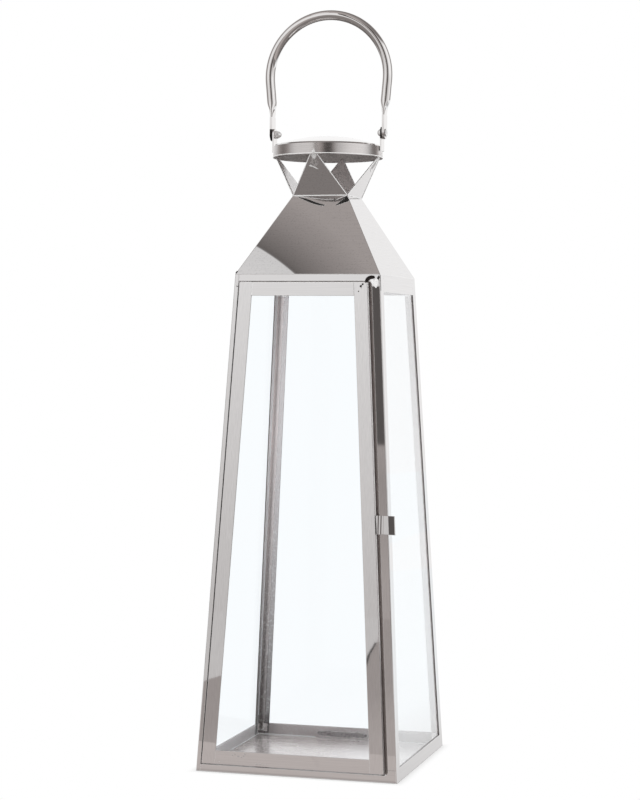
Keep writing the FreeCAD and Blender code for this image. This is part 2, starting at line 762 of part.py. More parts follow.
# Ears: flat strips on the outside of the band, round at the top about the handle's pivot.
def ear(label, turn):
    """Ear at the right, or turned to the left."""
    body = new_body(label, turn)
    sketch = new_sketch(body, "YZ_Plane", ("0", "0", EAR_FACE))
    draw(sketch, [
        ("-ear_width / 2", f"{BAND_TOP} - ear_foot"),
        ("ear_width / 2", f"{BAND_TOP} - ear_foot"),
        ("ear_width / 2", PIVOT_LEVEL),
        ("0", f"{PIVOT_LEVEL} + ear_width / 2"),
        ("-ear_width / 2", PIVOT_LEVEL),
    ], arcs={2: ("ear_width / 2", "left"), 3: ("ear_width / 2", "left")})
    draw_circle(sketch, ("0", PIVOT_LEVEL), "rivet_diameter / 2 + rivet_play")
    pad(body, sketch, "ear_gauge", inward=False)


# Handle rivets: a bevelled head inside the ear, a shank through ear and blade, a flat tail outside.
def handle_rivet(label, side):
    """Rivet through one ear; side is 1 at the right and -1 at the left."""
    body = new_body(label, "90 deg", Vector(0, side, 0), (f"{side} * {EAR_FACE}", "0", PIVOT_LEVEL))
    sketch = new_sketch(body, "XZ_Plane")
    grip = "(ear_gauge + handle_play + blade_gauge + rivet_rest)"
    head = "rivet_head_diameter / 2"
    draw(sketch, [
        ("0", "-rivet_head_height"),
        (f"{head} - rivet_bevel", "-rivet_head_height"),
        (head, "rivet_bevel - rivet_head_height"),
        (head, "0"),
        ("rivet_diameter / 2", "0"),
        ("rivet_diameter / 2", grip),
        ("rivet_tail_diameter / 2", grip),
        ("rivet_tail_diameter / 2", f"{grip} + rivet_tail_height"),
        ("0", f"{grip} + rivet_tail_height"),
    ])
    revolve(body, sketch)


ear("ear_right", "0 deg")
ear("ear_left", "180 deg")
handle_rivet("handle_rivet_right", 1)
handle_rivet("handle_rivet_left", -1)

# Bail handle: a tube bent to an arch, whose legs run in to flat blades beside the ears.
BLADE_X = f"({EAR_FACE} + ear_gauge + handle_play + blade_gauge / 2)"
BLADE_TOP = f"({PIVOT_LEVEL} + blade_reach)"
ARCH_LEVEL = f"({PIVOT_LEVEL} + handle_leg)"
ARCH_RADIUS = f"({BLADE_X} + handle_bulge)"
ARCH_RISE = f"({ARCH_LEVEL} - {BLADE_TOP})"
ARCH_REACH = f"sqrt({BLADE_X} * {BLADE_X} + {ARCH_RISE} * {ARCH_RISE})"
LEG_LEAN = f"(atan2({ARCH_RISE}; {BLADE_X}) - acos({ARCH_RADIUS} / {ARCH_REACH}))"
LEG_TOP = (f"({ARCH_RADIUS} * cos({LEG_LEAN}))", f"({ARCH_LEVEL} - {ARCH_RADIUS} * sin({LEG_LEAN}))")
TUBE_RADIUS = "(tube_diameter / 2)"
handle = new_body("handle")
tube_section = new_sketch(handle, "XY_Plane", (BLADE_X, "0", BLADE_TOP), Vector(0, 1, 0), LEG_LEAN)
draw_circle(tube_section, ("0", "0"), TUBE_RADIUS)
arch = new_sketch(handle, "XZ_Plane")
draw(arch, [
    (BLADE_X, BLADE_TOP),
    LEG_TOP,
    ("0", f"{ARCH_LEVEL} + {ARCH_RADIUS}"),
    (f"-{LEG_TOP[0]}", LEG_TOP[1]),
    (f"-{BLADE_X}", BLADE_TOP),
], arcs={1: (ARCH_RADIUS, "left"), 2: (ARCH_RADIUS, "left")}, closed=False)
tube = handle.newObject("PartDesign::AdditivePipe", "handle_tube")
tube.Profile = tube_section
tube.Spine = (arch, ["Edge1", "Edge2", "Edge3", "Edge4"])

# The foot of the leg is pressed from both sides, down to the blade's gauge.
PRESS_TOP = f"({BLADE_TOP} + flatten_length)"
PRESS_X = f"({BLADE_X} + flatten_length * tan({LEG_LEAN}))"
PRESS_HALF = f"({TUBE_RADIUS} / cos({LEG_LEAN}))"
pressed_sides = new_sketch(handle, "XZ_Plane")
for sign in ("+", "-"):
    draw(pressed_sides, [
        (f"{BLADE_X} {sign} blade_gauge / 2", BLADE_TOP),
        (f"{PRESS_X} {sign} {PRESS_HALF}", PRESS_TOP),
        (f"{PRESS_X} {sign} tube_diameter", PRESS_TOP),
        (f"{PRESS_X} {sign} tube_diameter", f"{BLADE_TOP} - gauge"),
        (f"{BLADE_X} {sign} blade_gauge / 2", f"{BLADE_TOP} - gauge"),
    ])
pressed = cut(handle, pressed_sides, both=True)

# Blade: round about the rivet at its lower end, with shoulders that run up into the tube.
BLADE_EDGE = "(blade_width / 2)"
SHOULDER_EDGE = "((tube_diameter - blade_gauge) / 2)"
blade_outline = new_sketch(handle, "YZ_Plane", ("0", "0", BLADE_X))
draw(blade_outline, [
    (f"-{BLADE_EDGE}", PIVOT_LEVEL),
    ("0", f"{PIVOT_LEVEL} - {BLADE_EDGE}"),
    (BLADE_EDGE, PIVOT_LEVEL),
    (BLADE_EDGE, BLADE_TOP),
    (SHOULDER_EDGE, f"{BLADE_TOP} + shoulder_length"),
    (f"-{SHOULDER_EDGE}", f"{BLADE_TOP} + shoulder_length"),
    (f"-{BLADE_EDGE}", BLADE_TOP),
], arcs={0: (BLADE_EDGE, "left"), 1: (BLADE_EDGE, "left")})
draw_circle(blade_outline, ("0", PIVOT_LEVEL), "rivet_diameter / 2 + rivet_play")
blade = pad(handle, blade_outline, "blade_gauge", symmetric=True)
other_leg = handle.newObject("PartDesign::Mirrored", "handle_other_leg")
other_leg.Originals = [pressed, blade]
other_leg.MirrorPlane = (origin_plane(handle, "YZ_Plane"), [""])
handle.Tip = other_leg

doc.recompute()
for item in doc.Objects:
    if "Invalid" in item.State or "Error" in item.State:
        raise RuntimeError(f"{item.Label} failed: {item.State}")
for node in nodes:
    if node.Shape.isNull() or not node.Shape.isValid() or not node.Shape.Solids:
        raise RuntimeError(f"{node.Label} has no sound solid")

os.makedirs("parts", exist_ok=True)
for node in nodes:
    node.Shape.exportStep(f"parts/{node.Label}.step")
    print(f"{node.Label}: {len(node.Shape.Solids)} solid, {node.Shape.Volume:.1f} mm3")
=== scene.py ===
# %% [markdown]
# # A polished candle lantern
# The lantern is a tall four-sided case of mirror-polished steel strips with clear panes. Its front is a door on two
# pivot pins, its roof is four folded plates that carry a round cap, and a bail handle of steel tube swings over it.
# The solid model already holds every piece in its place, in metres. This lesson loads that model and gives it the
# finishes, solder marks and light that the real lantern has.

# %% Load the solid model
import math

import bmesh
import bpy
from mathutils import Matrix, Vector


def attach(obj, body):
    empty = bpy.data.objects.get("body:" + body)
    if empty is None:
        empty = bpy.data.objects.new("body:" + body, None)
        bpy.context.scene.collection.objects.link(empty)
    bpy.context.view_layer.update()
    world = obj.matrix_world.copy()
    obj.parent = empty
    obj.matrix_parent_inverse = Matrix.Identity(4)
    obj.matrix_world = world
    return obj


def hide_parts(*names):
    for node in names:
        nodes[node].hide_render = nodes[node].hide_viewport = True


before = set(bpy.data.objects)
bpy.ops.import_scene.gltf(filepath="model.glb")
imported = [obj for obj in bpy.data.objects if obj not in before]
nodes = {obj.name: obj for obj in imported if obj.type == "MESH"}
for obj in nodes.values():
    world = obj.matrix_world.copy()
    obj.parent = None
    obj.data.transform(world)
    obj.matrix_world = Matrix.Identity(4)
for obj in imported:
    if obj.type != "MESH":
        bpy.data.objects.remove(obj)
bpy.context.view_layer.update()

# %% [markdown]
# ## The camera
# The photograph was taken with a long lens, a little to the right of the door and at mid height. A camera is a
# position, two axes and a lens. The axes are written here as a matrix, because a turn by angles is easy to get
# wrong. On a tall picture the sensor's width is its long side, so the lens follows from the picture's height.

# %% Camera
CAMERA_PLACE = Vector((0.5610, -2.0208, 0.4156))
CAMERA_YAW, CAMERA_PITCH, CAMERA_ROLL = (math.radians(turn) for turn in (15.68, -1.59, 0.44))
FOCAL_PIXELS, PICTURE_HEIGHT, SENSOR = 2109.9, 800, 36.0

ahead = Vector((-math.sin(CAMERA_YAW) * math.cos(CAMERA_PITCH),
                math.cos(CAMERA_YAW) * math.cos(CAMERA_PITCH), math.sin(CAMERA_PITCH)))
level_right = Vector((math.cos(CAMERA_YAW), math.sin(CAMERA_YAW), 0.0))
level_up = level_right.cross(ahead)
picture_right = level_right * math.cos(CAMERA_ROLL) + level_up * math.sin(CAMERA_ROLL)
picture_up = level_up * math.cos(CAMERA_ROLL) - level_right * math.sin(CAMERA_ROLL)

camera = bpy.data.objects.new("camera", bpy.data.cameras.new("camera"))
bpy.context.collection.objects.link(camera)
camera.data.sensor_width = SENSOR
camera.data.lens = FOCAL_PIXELS / PICTURE_HEIGHT * SENSOR
axes = Matrix((picture_right, picture_up, -ahead)).transposed()
camera.matrix_world = Matrix.Translation(CAMERA_PLACE) @ axes.to_4x4()
bpy.context.scene.camera = camera
bpy.context.scene.view_settings.view_transform = "Standard"
print("camera lens:", round(camera.data.lens, 2), "mm")

# %% [markdown]
# ## Wiring nodes
# Materials and the studio are webs of nodes. They could be wired by hand in the editor, but a script shows the
# reader each value. A few small helpers keep it readable: one places a node and fills its inputs with plain values
# or with another node's output, and the others are the sums that come back most often.

# %% Helpers for nodes
def add_node(tree, kind, fills=None, **options):
    """Places a node, sets its options, and fills inputs by name or number with a value or a socket."""
    made = tree.nodes.new(kind)
    for option, value in options.items():
        setattr(made, option, value)
    for name, value in (fills or {}).items():
        if isinstance(value, bpy.types.NodeSocket):
            tree.links.new(value, made.inputs[name])
        else:
            made.inputs[name].default_value = value
    return made


def maths(tree, operation, *values):
    """One sum of up to three values or sockets."""
    return add_node(tree, "ShaderNodeMath", dict(enumerate(values)), operation=operation).outputs[0]


def vectors(tree, operation, first, second=(0.0, 0.0, 0.0)):
    """One sum of two vectors or sockets."""
    kind = "Value" if operation in ("DOT_PRODUCT", "LENGTH") else "Vector"
    return add_node(tree, "ShaderNodeVectorMath", {0: first, 1: second}, operation=operation).outputs[kind]


def split(tree, vector):
    """The X, Y and Z parts of a vector."""
    return add_node(tree, "ShaderNodeSeparateXYZ", {0: vector}).outputs


def span(tree, value, low, high, first=0.0, last=1.0, soft=False):
    """Moves a value from the range low to high into the range first to last."""
    fills = {"Value": value, "From Min": low, "From Max": high, "To Min": first, "To Max": last}
    kind = "SMOOTHSTEP" if soft else "LINEAR"
    return add_node(tree, "ShaderNodeMapRange", fills, interpolation_type=kind).outputs["Result"]


def both(tree, first, second):
    """A mask that is 1 only where both masks are."""
    return maths(tree, "MULTIPLY", first, second)


print("wiring helpers ready")

# %% [markdown]
# ## Greys
# Steel and its studio have almost no hue, so most colours here are greys with a little warmth, written as one level.
# Two of them are mixed by a mask or multiplied, and a whole row of them is read off like a ruler.

# %% Helpers for colours
WHITE = (1.0, 1.0, 1.0, 1.0)


def tone(level, warmth=0.0):
    """A grey of that level, with a little less green and blue where it is warm."""
    return (level, level * (1 - 0.08 * warmth), level * (1 - 0.11 * warmth))


def shaded(colour, share=1.0):
    """A colour times a share, ready for a socket."""
    return (*[value * share for value in colour[:3]], 1.0)


def mix_colours(tree, share, first, second, blend="MIX"):
    """First colour at share 0, second at share 1, or the first multiplied by the second."""
    return add_node(tree, "ShaderNodeMix", {0: share, 6: first, 7: second}, data_type="RGBA",
                    blend_type=blend).outputs[2]


def ramp(tree, value, stops):
    """Colour read off a row of (place, colour) stops."""
    made = add_node(tree, "ShaderNodeValToRGB", {"Fac": value})
    row = made.color_ramp.elements
    while len(row) < len(stops):
        row.new(1.0)
    for stop, (place, colour) in zip(row, stops):
        stop.position = place
        stop.color = (*colour, 1.0)
    return made.outputs["Color"]


print("a warm middle grey:", [round(value, 3) for value in tone(0.5, 1)])

# %% [markdown]
# ## The studio
# Polished steel has hardly any colour of its own: it shows the room. So the room is built from white walls,
# softboxes and dark flags, as for any polished thing. Planes round the lantern could carry them, but they would
# stand in the way of other views, so they are drawn on the world behind everything. A direction is read as a turn
# about the upright axis, with its Z as the height above the horizon.

# %% World
world = bpy.data.worlds.new("studio")
bpy.context.scene.world = world
world.use_nodes = True
world.cycles.sampling_method = "NONE"
room = world.node_tree
room.nodes.clear()
toward = add_node(room, "ShaderNodeTexCoord").outputs["Generated"]
along = split(room, toward)
turn = maths(room, "ARCTAN2", along["X"], maths(room, "MULTIPLY", along["Y"], -1.0))
print("studio:", world.name)

# %% [markdown]
# ## Walls and flag
# The lantern's faces mirror white walls behind it, two light softboxes in front of it and dark gaps between them.
# One row of tones round the room holds them all, in degrees. In front the walls are darker low down. A narrow flag
# stands beside the camera, dark above and grey below, and the post beside the latch mirrors it: that is why the post
# is dark down to the latch and lighter under it.

# %% Walls
WALLS = [(-180, tone(1.0)), (-158, tone(1.0)), (-122, tone(0.68)), (-107, tone(0.33, 1)), (-92, tone(0.19, 1)),
         (-78, tone(0.36, 1)), (-67, tone(0.66)), (-56, tone(0.83)), (-24, tone(0.87)), (-8, tone(0.86)),
         (-7, tone(0.60, 0.5)), (1, tone(0.44, 1)), (6, tone(0.18, 1)), (10, tone(0.05, 1)), (22, tone(0.05, 1)),
         (27, tone(0.34, 1)), (34, tone(0.61)), (44, tone(0.73)), (56, tone(0.90)), (68, tone(1.0)), (90, tone(0.94)),
         (104, tone(0.80)), (114, tone(0.48)), (122, tone(0.22, 1)), (133, tone(0.17, 1)), (142, tone(0.34, 1)),
         (151, tone(0.94)), (180, tone(0.97))]
LOW_WALL, LOW_TONES = (-0.03, 0.14), [(0.0, tone(0.70, 0.3)), (1.0, tone(1.0))]
FRONT_HALF = (0.1, -0.4)
FLAG_MIDDLE, FLAG_HALF = math.radians(-10.6), math.radians(2.8)
FLAG_RISE = (0.0, 0.08)
FLAG_TONES = [(0.0, tone(0.44, 1)), (0.45, tone(0.36, 1)), (0.58, tone(0.35, 1)), (0.78, tone(0.39, 1)),
              (0.795, tone(0.115, 1)), (1.0, tone(0.11, 1))]

wall = ramp(room, span(room, turn, -math.pi, math.pi), [((degrees + 180) / 360, colour) for degrees, colour in WALLS])
lower = ramp(room, span(room, along["Z"], *LOW_WALL), LOW_TONES)
wall = mix_colours(room, span(room, along["Y"], *FRONT_HALF, soft=True), wall, lower, blend="MULTIPLY")
flag = maths(room, "COMPARE", turn, FLAG_MIDDLE, FLAG_HALF)
wall = mix_colours(room, flag, wall, ramp(room, span(room, along["Z"], *FLAG_RISE), FLAG_TONES))
print("studio walls:", len(WALLS), "stops; flag:", len(FLAG_TONES), "stops")

# %% [markdown]
# ## Ceiling and round lamp
# The front roof plate mirrors the ceiling. It is grey, with one round lamp that gives the light patch with a curved
# edge at the plate's lower left, and it falls off to dark just round the lamp. A direction's nearness to the lamp is
# the cosine between the two, so one row of tones along it draws lamp and ceiling together.

# %% Ceiling
LAMP_TOWARD = (-0.3493, -0.5196, 0.7797)
LAMP_NEAR, GLOW_NEAR = (0.98, 0.9963), (0.70, 0.97)
CEILING = [(0.0, tone(0.44, 1)), (0.40, tone(0.45, 1)), (0.66, tone(0.41, 1)), (0.76, tone(0.31, 1)),
           (0.84, tone(0.20, 1)), (0.863, tone(0.15, 1)), (0.866, tone(0.74)), (1.0, tone(0.80))]
GLOW = [(0.0, tone(0.45)), (1.0, tone(1.0))]
CEILING_FROM = (0.62, 0.73)

nearness = vectors(room, "DOT_PRODUCT", toward, LAMP_TOWARD)
ceiling = ramp(room, span(room, nearness, *LAMP_NEAR), CEILING)
ceiling = mix_colours(room, 1.0, ceiling, ramp(room, span(room, nearness, *GLOW_NEAR), GLOW), blend="MULTIPLY")
room_tone = mix_colours(room, span(room, along["Z"], *CEILING_FROM, soft=True), wall, ceiling)
print("ceiling:", len(CEILING), "stops")

# %% [markdown]
# ## What each ray sees
# To the camera, and through the panes, the room is plain white. Mirror faces see the walls and the ceiling. All
# other light is one soft grey, so that a colour renders about as it is written.

# %% Light of the room
SOFT_LEVEL = 0.80
path = add_node(room, "ShaderNodeLightPath").outputs
seen = maths(room, "MAXIMUM", path["Is Camera Ray"], path["Is Transmission Ray"])
soft_light = mix_colours(room, path["Is Glossy Ray"], shaded(tone(SOFT_LEVEL)), room_tone)
background = add_node(room, "ShaderNodeBackground", {"Color": mix_colours(room, seen, soft_light, WHITE),
                                                     "Strength": 1.0})
add_node(room, "ShaderNodeOutputWorld", {"Surface": background.outputs[0]})
print("soft light:", SOFT_LEVEL)

# %% [markdown]
# ## The floor
# The lantern stands on a pale floor. Its far edge would show as a horizon, so to the camera the floor fades into the
# white room just outside the base, and keeps only the contact shadow. Its paint is real: it takes the lamps' light
# and throws it back on the lantern.

# %% Floor
FLOOR_HALF, FLOOR_LEVEL = 8.0, 0.93
SHADE_START, WHITE_FROM = 0.093, 0.110


def blank_material(name):
    """A new material and its empty web of nodes."""
    made = bpy.data.materials.new(name)
    made.use_nodes = True
    made.node_tree.nodes.clear()
    return made, made.node_tree


def flat_sheet(name, finish, edge, level=0.0):
    """A flat stage face over an edge of (x, y) points, and the web of its new material."""
    sheet = bpy.data.objects.new(name, bpy.data.meshes.new(name))
    bpy.context.collection.objects.link(sheet)
    sheet.data.from_pydata([(x, y, level) for x, y in edge], [], [tuple(range(len(edge)))])
    made, tree = blank_material(finish)
    sheet.data.materials.append(made)
    return sheet, tree


def glow(tree, colour):
    """A plain light of that colour."""
    return add_node(tree, "ShaderNodeEmission", {"Color": colour}).outputs[0]


floor, tree = flat_sheet("floor", "pale_floor", [(-FLOOR_HALF, -FLOOR_HALF), (FLOOR_HALF, -FLOOR_HALF),
                                                 (FLOOR_HALF, FLOOR_HALF), (-FLOOR_HALF, FLOOR_HALF)])
spot = add_node(tree, "ShaderNodeTexCoord").outputs["Object"]
ground = split(tree, spot)
rays = add_node(tree, "ShaderNodeLightPath").outputs
seen = maths(tree, "MAXIMUM", rays["Is Camera Ray"], rays["Is Transmission Ray"])
paint = add_node(tree, "ShaderNodeBsdfDiffuse", {"Color": shaded(tone(FLOOR_LEVEL))}).outputs[0]
reach = maths(tree, "MAXIMUM", *[maths(tree, "ABSOLUTE", ground[axis]) for axis in "XY"])
far = both(tree, seen, span(tree, reach, SHADE_START, WHITE_FROM, soft=True))
faded = add_node(tree, "ShaderNodeMixShader", {0: far, 1: paint, 2: glow(tree, WHITE)}).outputs[0]
print(floor.name, "laid:", 2 * FLOOR_HALF, "m wide")

# %% [markdown]
# ## The floor in the mirrors
# The polished strips mirror the floor too, and there it isn't white: the studio's floor lies in shade in front of
# the lantern and is light beside it. In front, mirrors see a grey that is darkest far to the left and at a glance
# far off, and darker close to the lantern's own foot. Beside and behind, they see pale floor with one deep shade,
# which darkens the handle's inner edge, and one bright spot, which lights the right petal. Faces that look steeply
# down see a dark floor. Cards could be laid for all of these, but soft masks on one floor blend better.

# %% Floor in the mirrors
LOW_GLANCE, FAR_GLANCE = (0.66, 0.88), (0.93, 0.88)
NEAR_FAR, FAR_SHADE = (0.5, 1.6), (2.0, 3.5)
FRONT_EDGE, CONTACT = (-0.112, -0.100), (-0.128, -0.112)
LEFT_DARK_X, LEFT_DARK_Y = (-1.9, -2.4), (-1.9, -1.6)
DEEP_X, DEEP_Y = (0.05, -0.05), (1.0, 1.2)
SPOT_X, SPOT_Y = (0.60, 0.30), (2.9, 0.60)
BESIDE_X, COOL_WHITE = (0.12, 0.20), (0.955, 0.985, 1.0)

distance = vectors(tree, "LENGTH", spot)
grazing = add_node(tree, "ShaderNodeLayerWeight", {"Blend": 0.5}).outputs["Facing"]
behind = span(tree, ground["Y"], *FRONT_EDGE)
far_left = both(tree, span(tree, ground["X"], *LEFT_DARK_X), span(tree, ground["Y"], *LEFT_DARK_Y))
far_glance = both(tree, span(tree, distance, *FAR_SHADE), span(tree, grazing, *FAR_GLANCE))
deep_shade = both(tree, span(tree, ground["X"], *DEEP_X), span(tree, ground["Y"], *DEEP_Y))
bright_spot = both(tree, maths(tree, "COMPARE", ground["X"], *SPOT_X), maths(tree, "COMPARE", ground["Y"], *SPOT_Y))

ahead_tone = mix_colours(tree, span(tree, distance, *NEAR_FAR), shaded(tone(0.56, 1)), shaded(tone(0.64, 0.2)))
for mask, level in ((far_left, 0.11), (far_glance, 0.20), (span(tree, ground["Y"], *CONTACT), 0.40)):
    ahead_tone = mix_colours(tree, mask, ahead_tone, shaded(tone(level, 1)))
beside = mix_colours(tree, span(tree, ground["X"], *BESIDE_X), shaded(tone(0.86)), shaded(COOL_WHITE))
beside = mix_colours(tree, deep_shade, beside, shaded(tone(0.15, 1)))
beside = mix_colours(tree, bright_spot, beside, shaded(tone(0.98)))
steep = mix_colours(tree, behind, shaded(tone(0.24, 1)), shaded(tone(0.15, 1)))
steep = mix_colours(tree, bright_spot, steep, shaded(tone(0.70, 0.2)))
mirror_tone = mix_colours(tree, span(tree, grazing, *LOW_GLANCE, soft=True), steep,
                          mix_colours(tree, behind, ahead_tone, beside))
in_mirror = both(tree, rays["Is Glossy Ray"], maths(tree, "SUBTRACT", 1.0, rays["Is Transmission Ray"]))
surface = add_node(tree, "ShaderNodeMixShader", {0: in_mirror, 1: faded, 2: glow(tree, mirror_tone)}).outputs[0]
add_node(tree, "ShaderNodeOutputMaterial", {"Surface": surface})
print("floor tones in the mirrors ready")

# %% [markdown]
# ## The grey card
# Low on the door's strips there are steps of tone with curved edges: the edge of something grey that lies on the
# floor in front. A shadow would be soft there, so a flat card with that edge is laid down. Only mirrors see it. It
# has a thin dark border along its left side.

# %% Grey card
CARD_EDGE = [(-0.215, -0.440), (-0.190, -0.425), (0.002, -0.405), (0.25, -0.38), (2.5, -0.38), (2.5, -8.0),
             (-1.84, -8.0), (-0.950, -4.230), (-0.730, -3.280), (-0.549, -2.530), (-0.517, -2.35), (-0.53, -2.2),
             (-0.665, -1.886), (-0.636, -1.726), (-0.45, -0.9)]
BORDER, BORDER_WIDTH = [(-0.950, -4.230), (-0.730, -3.280), (-0.549, -2.530)], 0.006
CARD_LIFT, CARD_TURN, CARD_GLANCE = 0.0004, (-0.28, -0.06), (0.45, 0.75)

card, tree = flat_sheet("grey_card", "grey_card", CARD_EDGE, CARD_LIFT)
grazing = add_node(tree, "ShaderNodeLayerWeight", {"Blend": 0.5}).outputs["Facing"]
sideways = split(tree, add_node(tree, "ShaderNodeTexCoord").outputs["Object"])["X"]
lit = mix_colours(tree, span(tree, sideways, *CARD_TURN), shaded(tone(0.385, 1)), shaded(tone(0.46, 1)))
lit = mix_colours(tree, span(tree, grazing, *CARD_GLANCE), shaded(tone(0.21, 1)), lit)
add_node(tree, "ShaderNodeOutputMaterial", {"Surface": glow(tree, lit)})

border, tree = flat_sheet("card_border", "card_border",
                          BORDER + [(x - BORDER_WIDTH, y) for x, y in reversed(BORDER)], 2 * CARD_LIFT)
add_node(tree, "ShaderNodeOutputMaterial", {"Surface": glow(tree, shaded(tone(0.05, 1)))})
for sheet in (card, border):
    for sight in ("camera", "diffuse", "transmission", "volume_scatter", "shadow"):
        setattr(sheet, f"visible_{sight}", False)
print("grey card laid:", len(CARD_EDGE), "corners")

# %% [markdown]
# ## Soft lamps
# Three broad lamps light the floor and give the lantern its soft contact shadow. They are hidden from mirrors,
# where the softboxes of the studio walls already show.

# %% Lamps
def soft_lamp(name, place, width, power=8.0, aim=(0.0, 0.0, 0.3)):
    """A square lamp that faces the middle of the lantern."""
    lamp = bpy.data.objects.new(name, bpy.data.lights.new(name, "AREA"))
    bpy.context.collection.objects.link(lamp)
    lamp.data.size = width
    lamp.data.energy = power
    lamp.location = place
    lamp.rotation_euler = (Vector(aim) - Vector(place)).to_track_quat("-Z", "Y").to_euler()
    lamp.visible_glossy = False
    lamp.visible_camera = False
    return lamp


lamps = [soft_lamp("left_softbox", (-1.6, -1.4, 1.6), 1.2), soft_lamp("right_softbox", (1.9, -0.4, 1.5), 1.2),
         soft_lamp("top_softbox", (0.0, 0.6, 2.2), 1.4)]
print("lamps:", [lamp.name for lamp in lamps])

# %% [markdown]
# ## Effects that several finishes share
# Brushed lines, cloudy smudges, specks and bright edges turn up on many pieces, each with other values. They could
# be wired anew in each material, but a node group is built once and keeps them alike. A group takes a place on the
# piece, and gives back a mask between 0 and 1. Brushed lines are noise stretched along one direction.

# %% Brushed lines
def new_group(name, takes, gives):
    """An empty group with its sockets, and its input and output nodes."""
    group = bpy.data.node_groups.new(name, "ShaderNodeTree")
    for side, sockets in (("INPUT", takes), ("OUTPUT", gives)):
        for socket, value in sockets.items():
            kind = "NodeSocketVector" if isinstance(value, tuple) else "NodeSocketFloat"
            group.interface.new_socket(socket, in_out=side, socket_type=kind).default_value = value
    return group, add_node(group, "NodeGroupInput").outputs, group.nodes.new("NodeGroupOutput")


ORIGIN = (0.0, 0.0, 0.0)
brushed_lines, take, give = new_group("brushed_lines", {"Place": ORIGIN, "Lines": (60.0, 60.0, 2500.0)},
                                      {"Line": 0.0})
stretched = vectors(brushed_lines, "MULTIPLY", take["Place"], take["Lines"])
fine = add_node(brushed_lines, "ShaderNodeTexNoise", {"Vector": stretched, "Scale": 1.0, "Detail": 3.0,
                                                      "Roughness": 0.6}).outputs[0]
brushed_lines.links.new(span(brushed_lines, fine, 0.28, 0.72), give.inputs["Line"])
print("shared effect:", brushed_lines.name)

# %% [markdown]
# ## Smudges and specks
# Fingers leave cloudy patches, and unpolished steel sparkles with fine specks. Both are noise that shows only above
# a threshold. The threshold falls as the cover grows: softly for a smudge, sharply for a speck.

# %% Smudges and specks
cloudy_smudges, take, give = new_group("cloudy_smudges", {"Place": ORIGIN, "Size": 30.0, "Cover": 0.5},
                                       {"Smudge": 0.0})
cloud = add_node(cloudy_smudges, "ShaderNodeTexNoise", {"Vector": take["Place"], "Scale": take["Size"],
                                                        "Detail": 5.0, "Roughness": 0.62, "Distortion": 0.6})
start = maths(cloudy_smudges, "SUBTRACT", 0.86, maths(cloudy_smudges, "MULTIPLY", take["Cover"], 0.5))
patch = span(cloudy_smudges, cloud.outputs[0], start, maths(cloudy_smudges, "ADD", start, 0.2), soft=True)
cloudy_smudges.links.new(patch, give.inputs["Smudge"])

fine_specks, take, give = new_group("fine_specks", {"Place": ORIGIN, "Grain": 900.0, "Cover": 0.4}, {"Speck": 0.0})
grain = add_node(fine_specks, "ShaderNodeTexNoise", {"Vector": take["Place"], "Scale": take["Grain"], "Detail": 2.0})
start = maths(fine_specks, "SUBTRACT", 0.80, maths(fine_specks, "MULTIPLY", take["Cover"], 0.5))
speck = span(fine_specks, grain.outputs[0], start, maths(fine_specks, "ADD", start, 0.12))
fine_specks.links.new(speck, give.inputs["Speck"])
print("shared effects:", cloudy_smudges.name, fine_specks.name)

# %% [markdown]
# ## Bright edges
# Cut edges are broken by hand with a file, so each catches a thin line of light. Real roundings on every strip would
# change the solid pieces. Blender's Bevel node rounds only the shading normal, and where it parts from the flat
# normal there is an edge. The finishes also paint that edge pale: a painted highlight over the real rounded shading.

# %% Bright edges
bright_edges, take, give = new_group("bright_edges", {"Width": 0.0006}, {"Edge": 0.0, "Rounded": ORIGIN})
rounded = add_node(bright_edges, "ShaderNodeBevel", {"Radius": take["Width"]}, samples=4).outputs[0]
straight = add_node(bright_edges, "ShaderNodeNewGeometry").outputs["Normal"]
agree = vectors(bright_edges, "DOT_PRODUCT", rounded, straight)
bright_edges.links.new(span(bright_edges, agree, 0.995, 0.85), give.inputs["Edge"])
bright_edges.links.new(rounded, give.inputs["Rounded"])
print("shared effect:", bright_edges.name)

# %% [markdown]
# ## Which way a face looks
# Sheet is polished outside only, and its cut edges are raw. The finishes paint those edges nearly black, a painted
# shade for the dark lines along them. Giving each face its own material by hand would be slow on so many strips. A
# material can find them by itself: an inward face has a normal that points at the lantern's axis, and a cut edge lies
# within a sheet's thickness of the outer face and stands square to it.

# %% Helpers for faces
HALF_BASE, SHEET_LEAN = 0.1, 0.0575
SHEET_THICK, CORNER_WIDE = 0.0011, 0.002


def normal_of(tree):
    """The way that the face looks."""
    return add_node(tree, "ShaderNodeNewGeometry").outputs["Normal"]


def facing_in(tree, place):
    """1 on faces that look toward the lantern's axis."""
    outward = vectors(tree, "MULTIPLY", place, (1.0, 1.0, 0.0))
    return span(tree, vectors(tree, "DOT_PRODUCT", normal_of(tree), outward), 0.01, -0.01)


def cut_edge(tree, place):
    """1 on the raw cut edges: a sheet's thickness wide, square to the sheet's face."""
    spot, normal = split(tree, place), split(tree, normal_of(tree))
    half = maths(tree, "SUBTRACT", HALF_BASE, maths(tree, "MULTIPLY", spot["Z"], SHEET_LEAN))
    depth = {axis: maths(tree, "SUBTRACT", half, maths(tree, "ABSOLUTE", spot[axis])) for axis in "XY"}
    found = maths(tree, "GREATER_THAN", maths(tree, "ABSOLUTE", normal["Z"]), 0.8)
    for thin, wide in ("XY", "YX"):
        square = maths(tree, "GREATER_THAN", maths(tree, "ABSOLUTE", normal[wide]), 0.5)
        near = maths(tree, "LESS_THAN", depth[thin], SHEET_THICK)
        apart = maths(tree, "GREATER_THAN", depth[wide], CORNER_WIDE)
        found = maths(tree, "MAXIMUM", found, both(tree, square, both(tree, near, apart)))
    return found


print("face helpers ready, for a base", 2 * HALF_BASE, "m wide")

# %% [markdown]
# ## An empty metal
# Every metal finish starts alike: one shader that is all metal, its output, and the place on the piece that the
# effects read. The place is measured in the lantern's own frame, so that lines and smudges stay on a piece when it
# moves, and no unwrapping is needed.

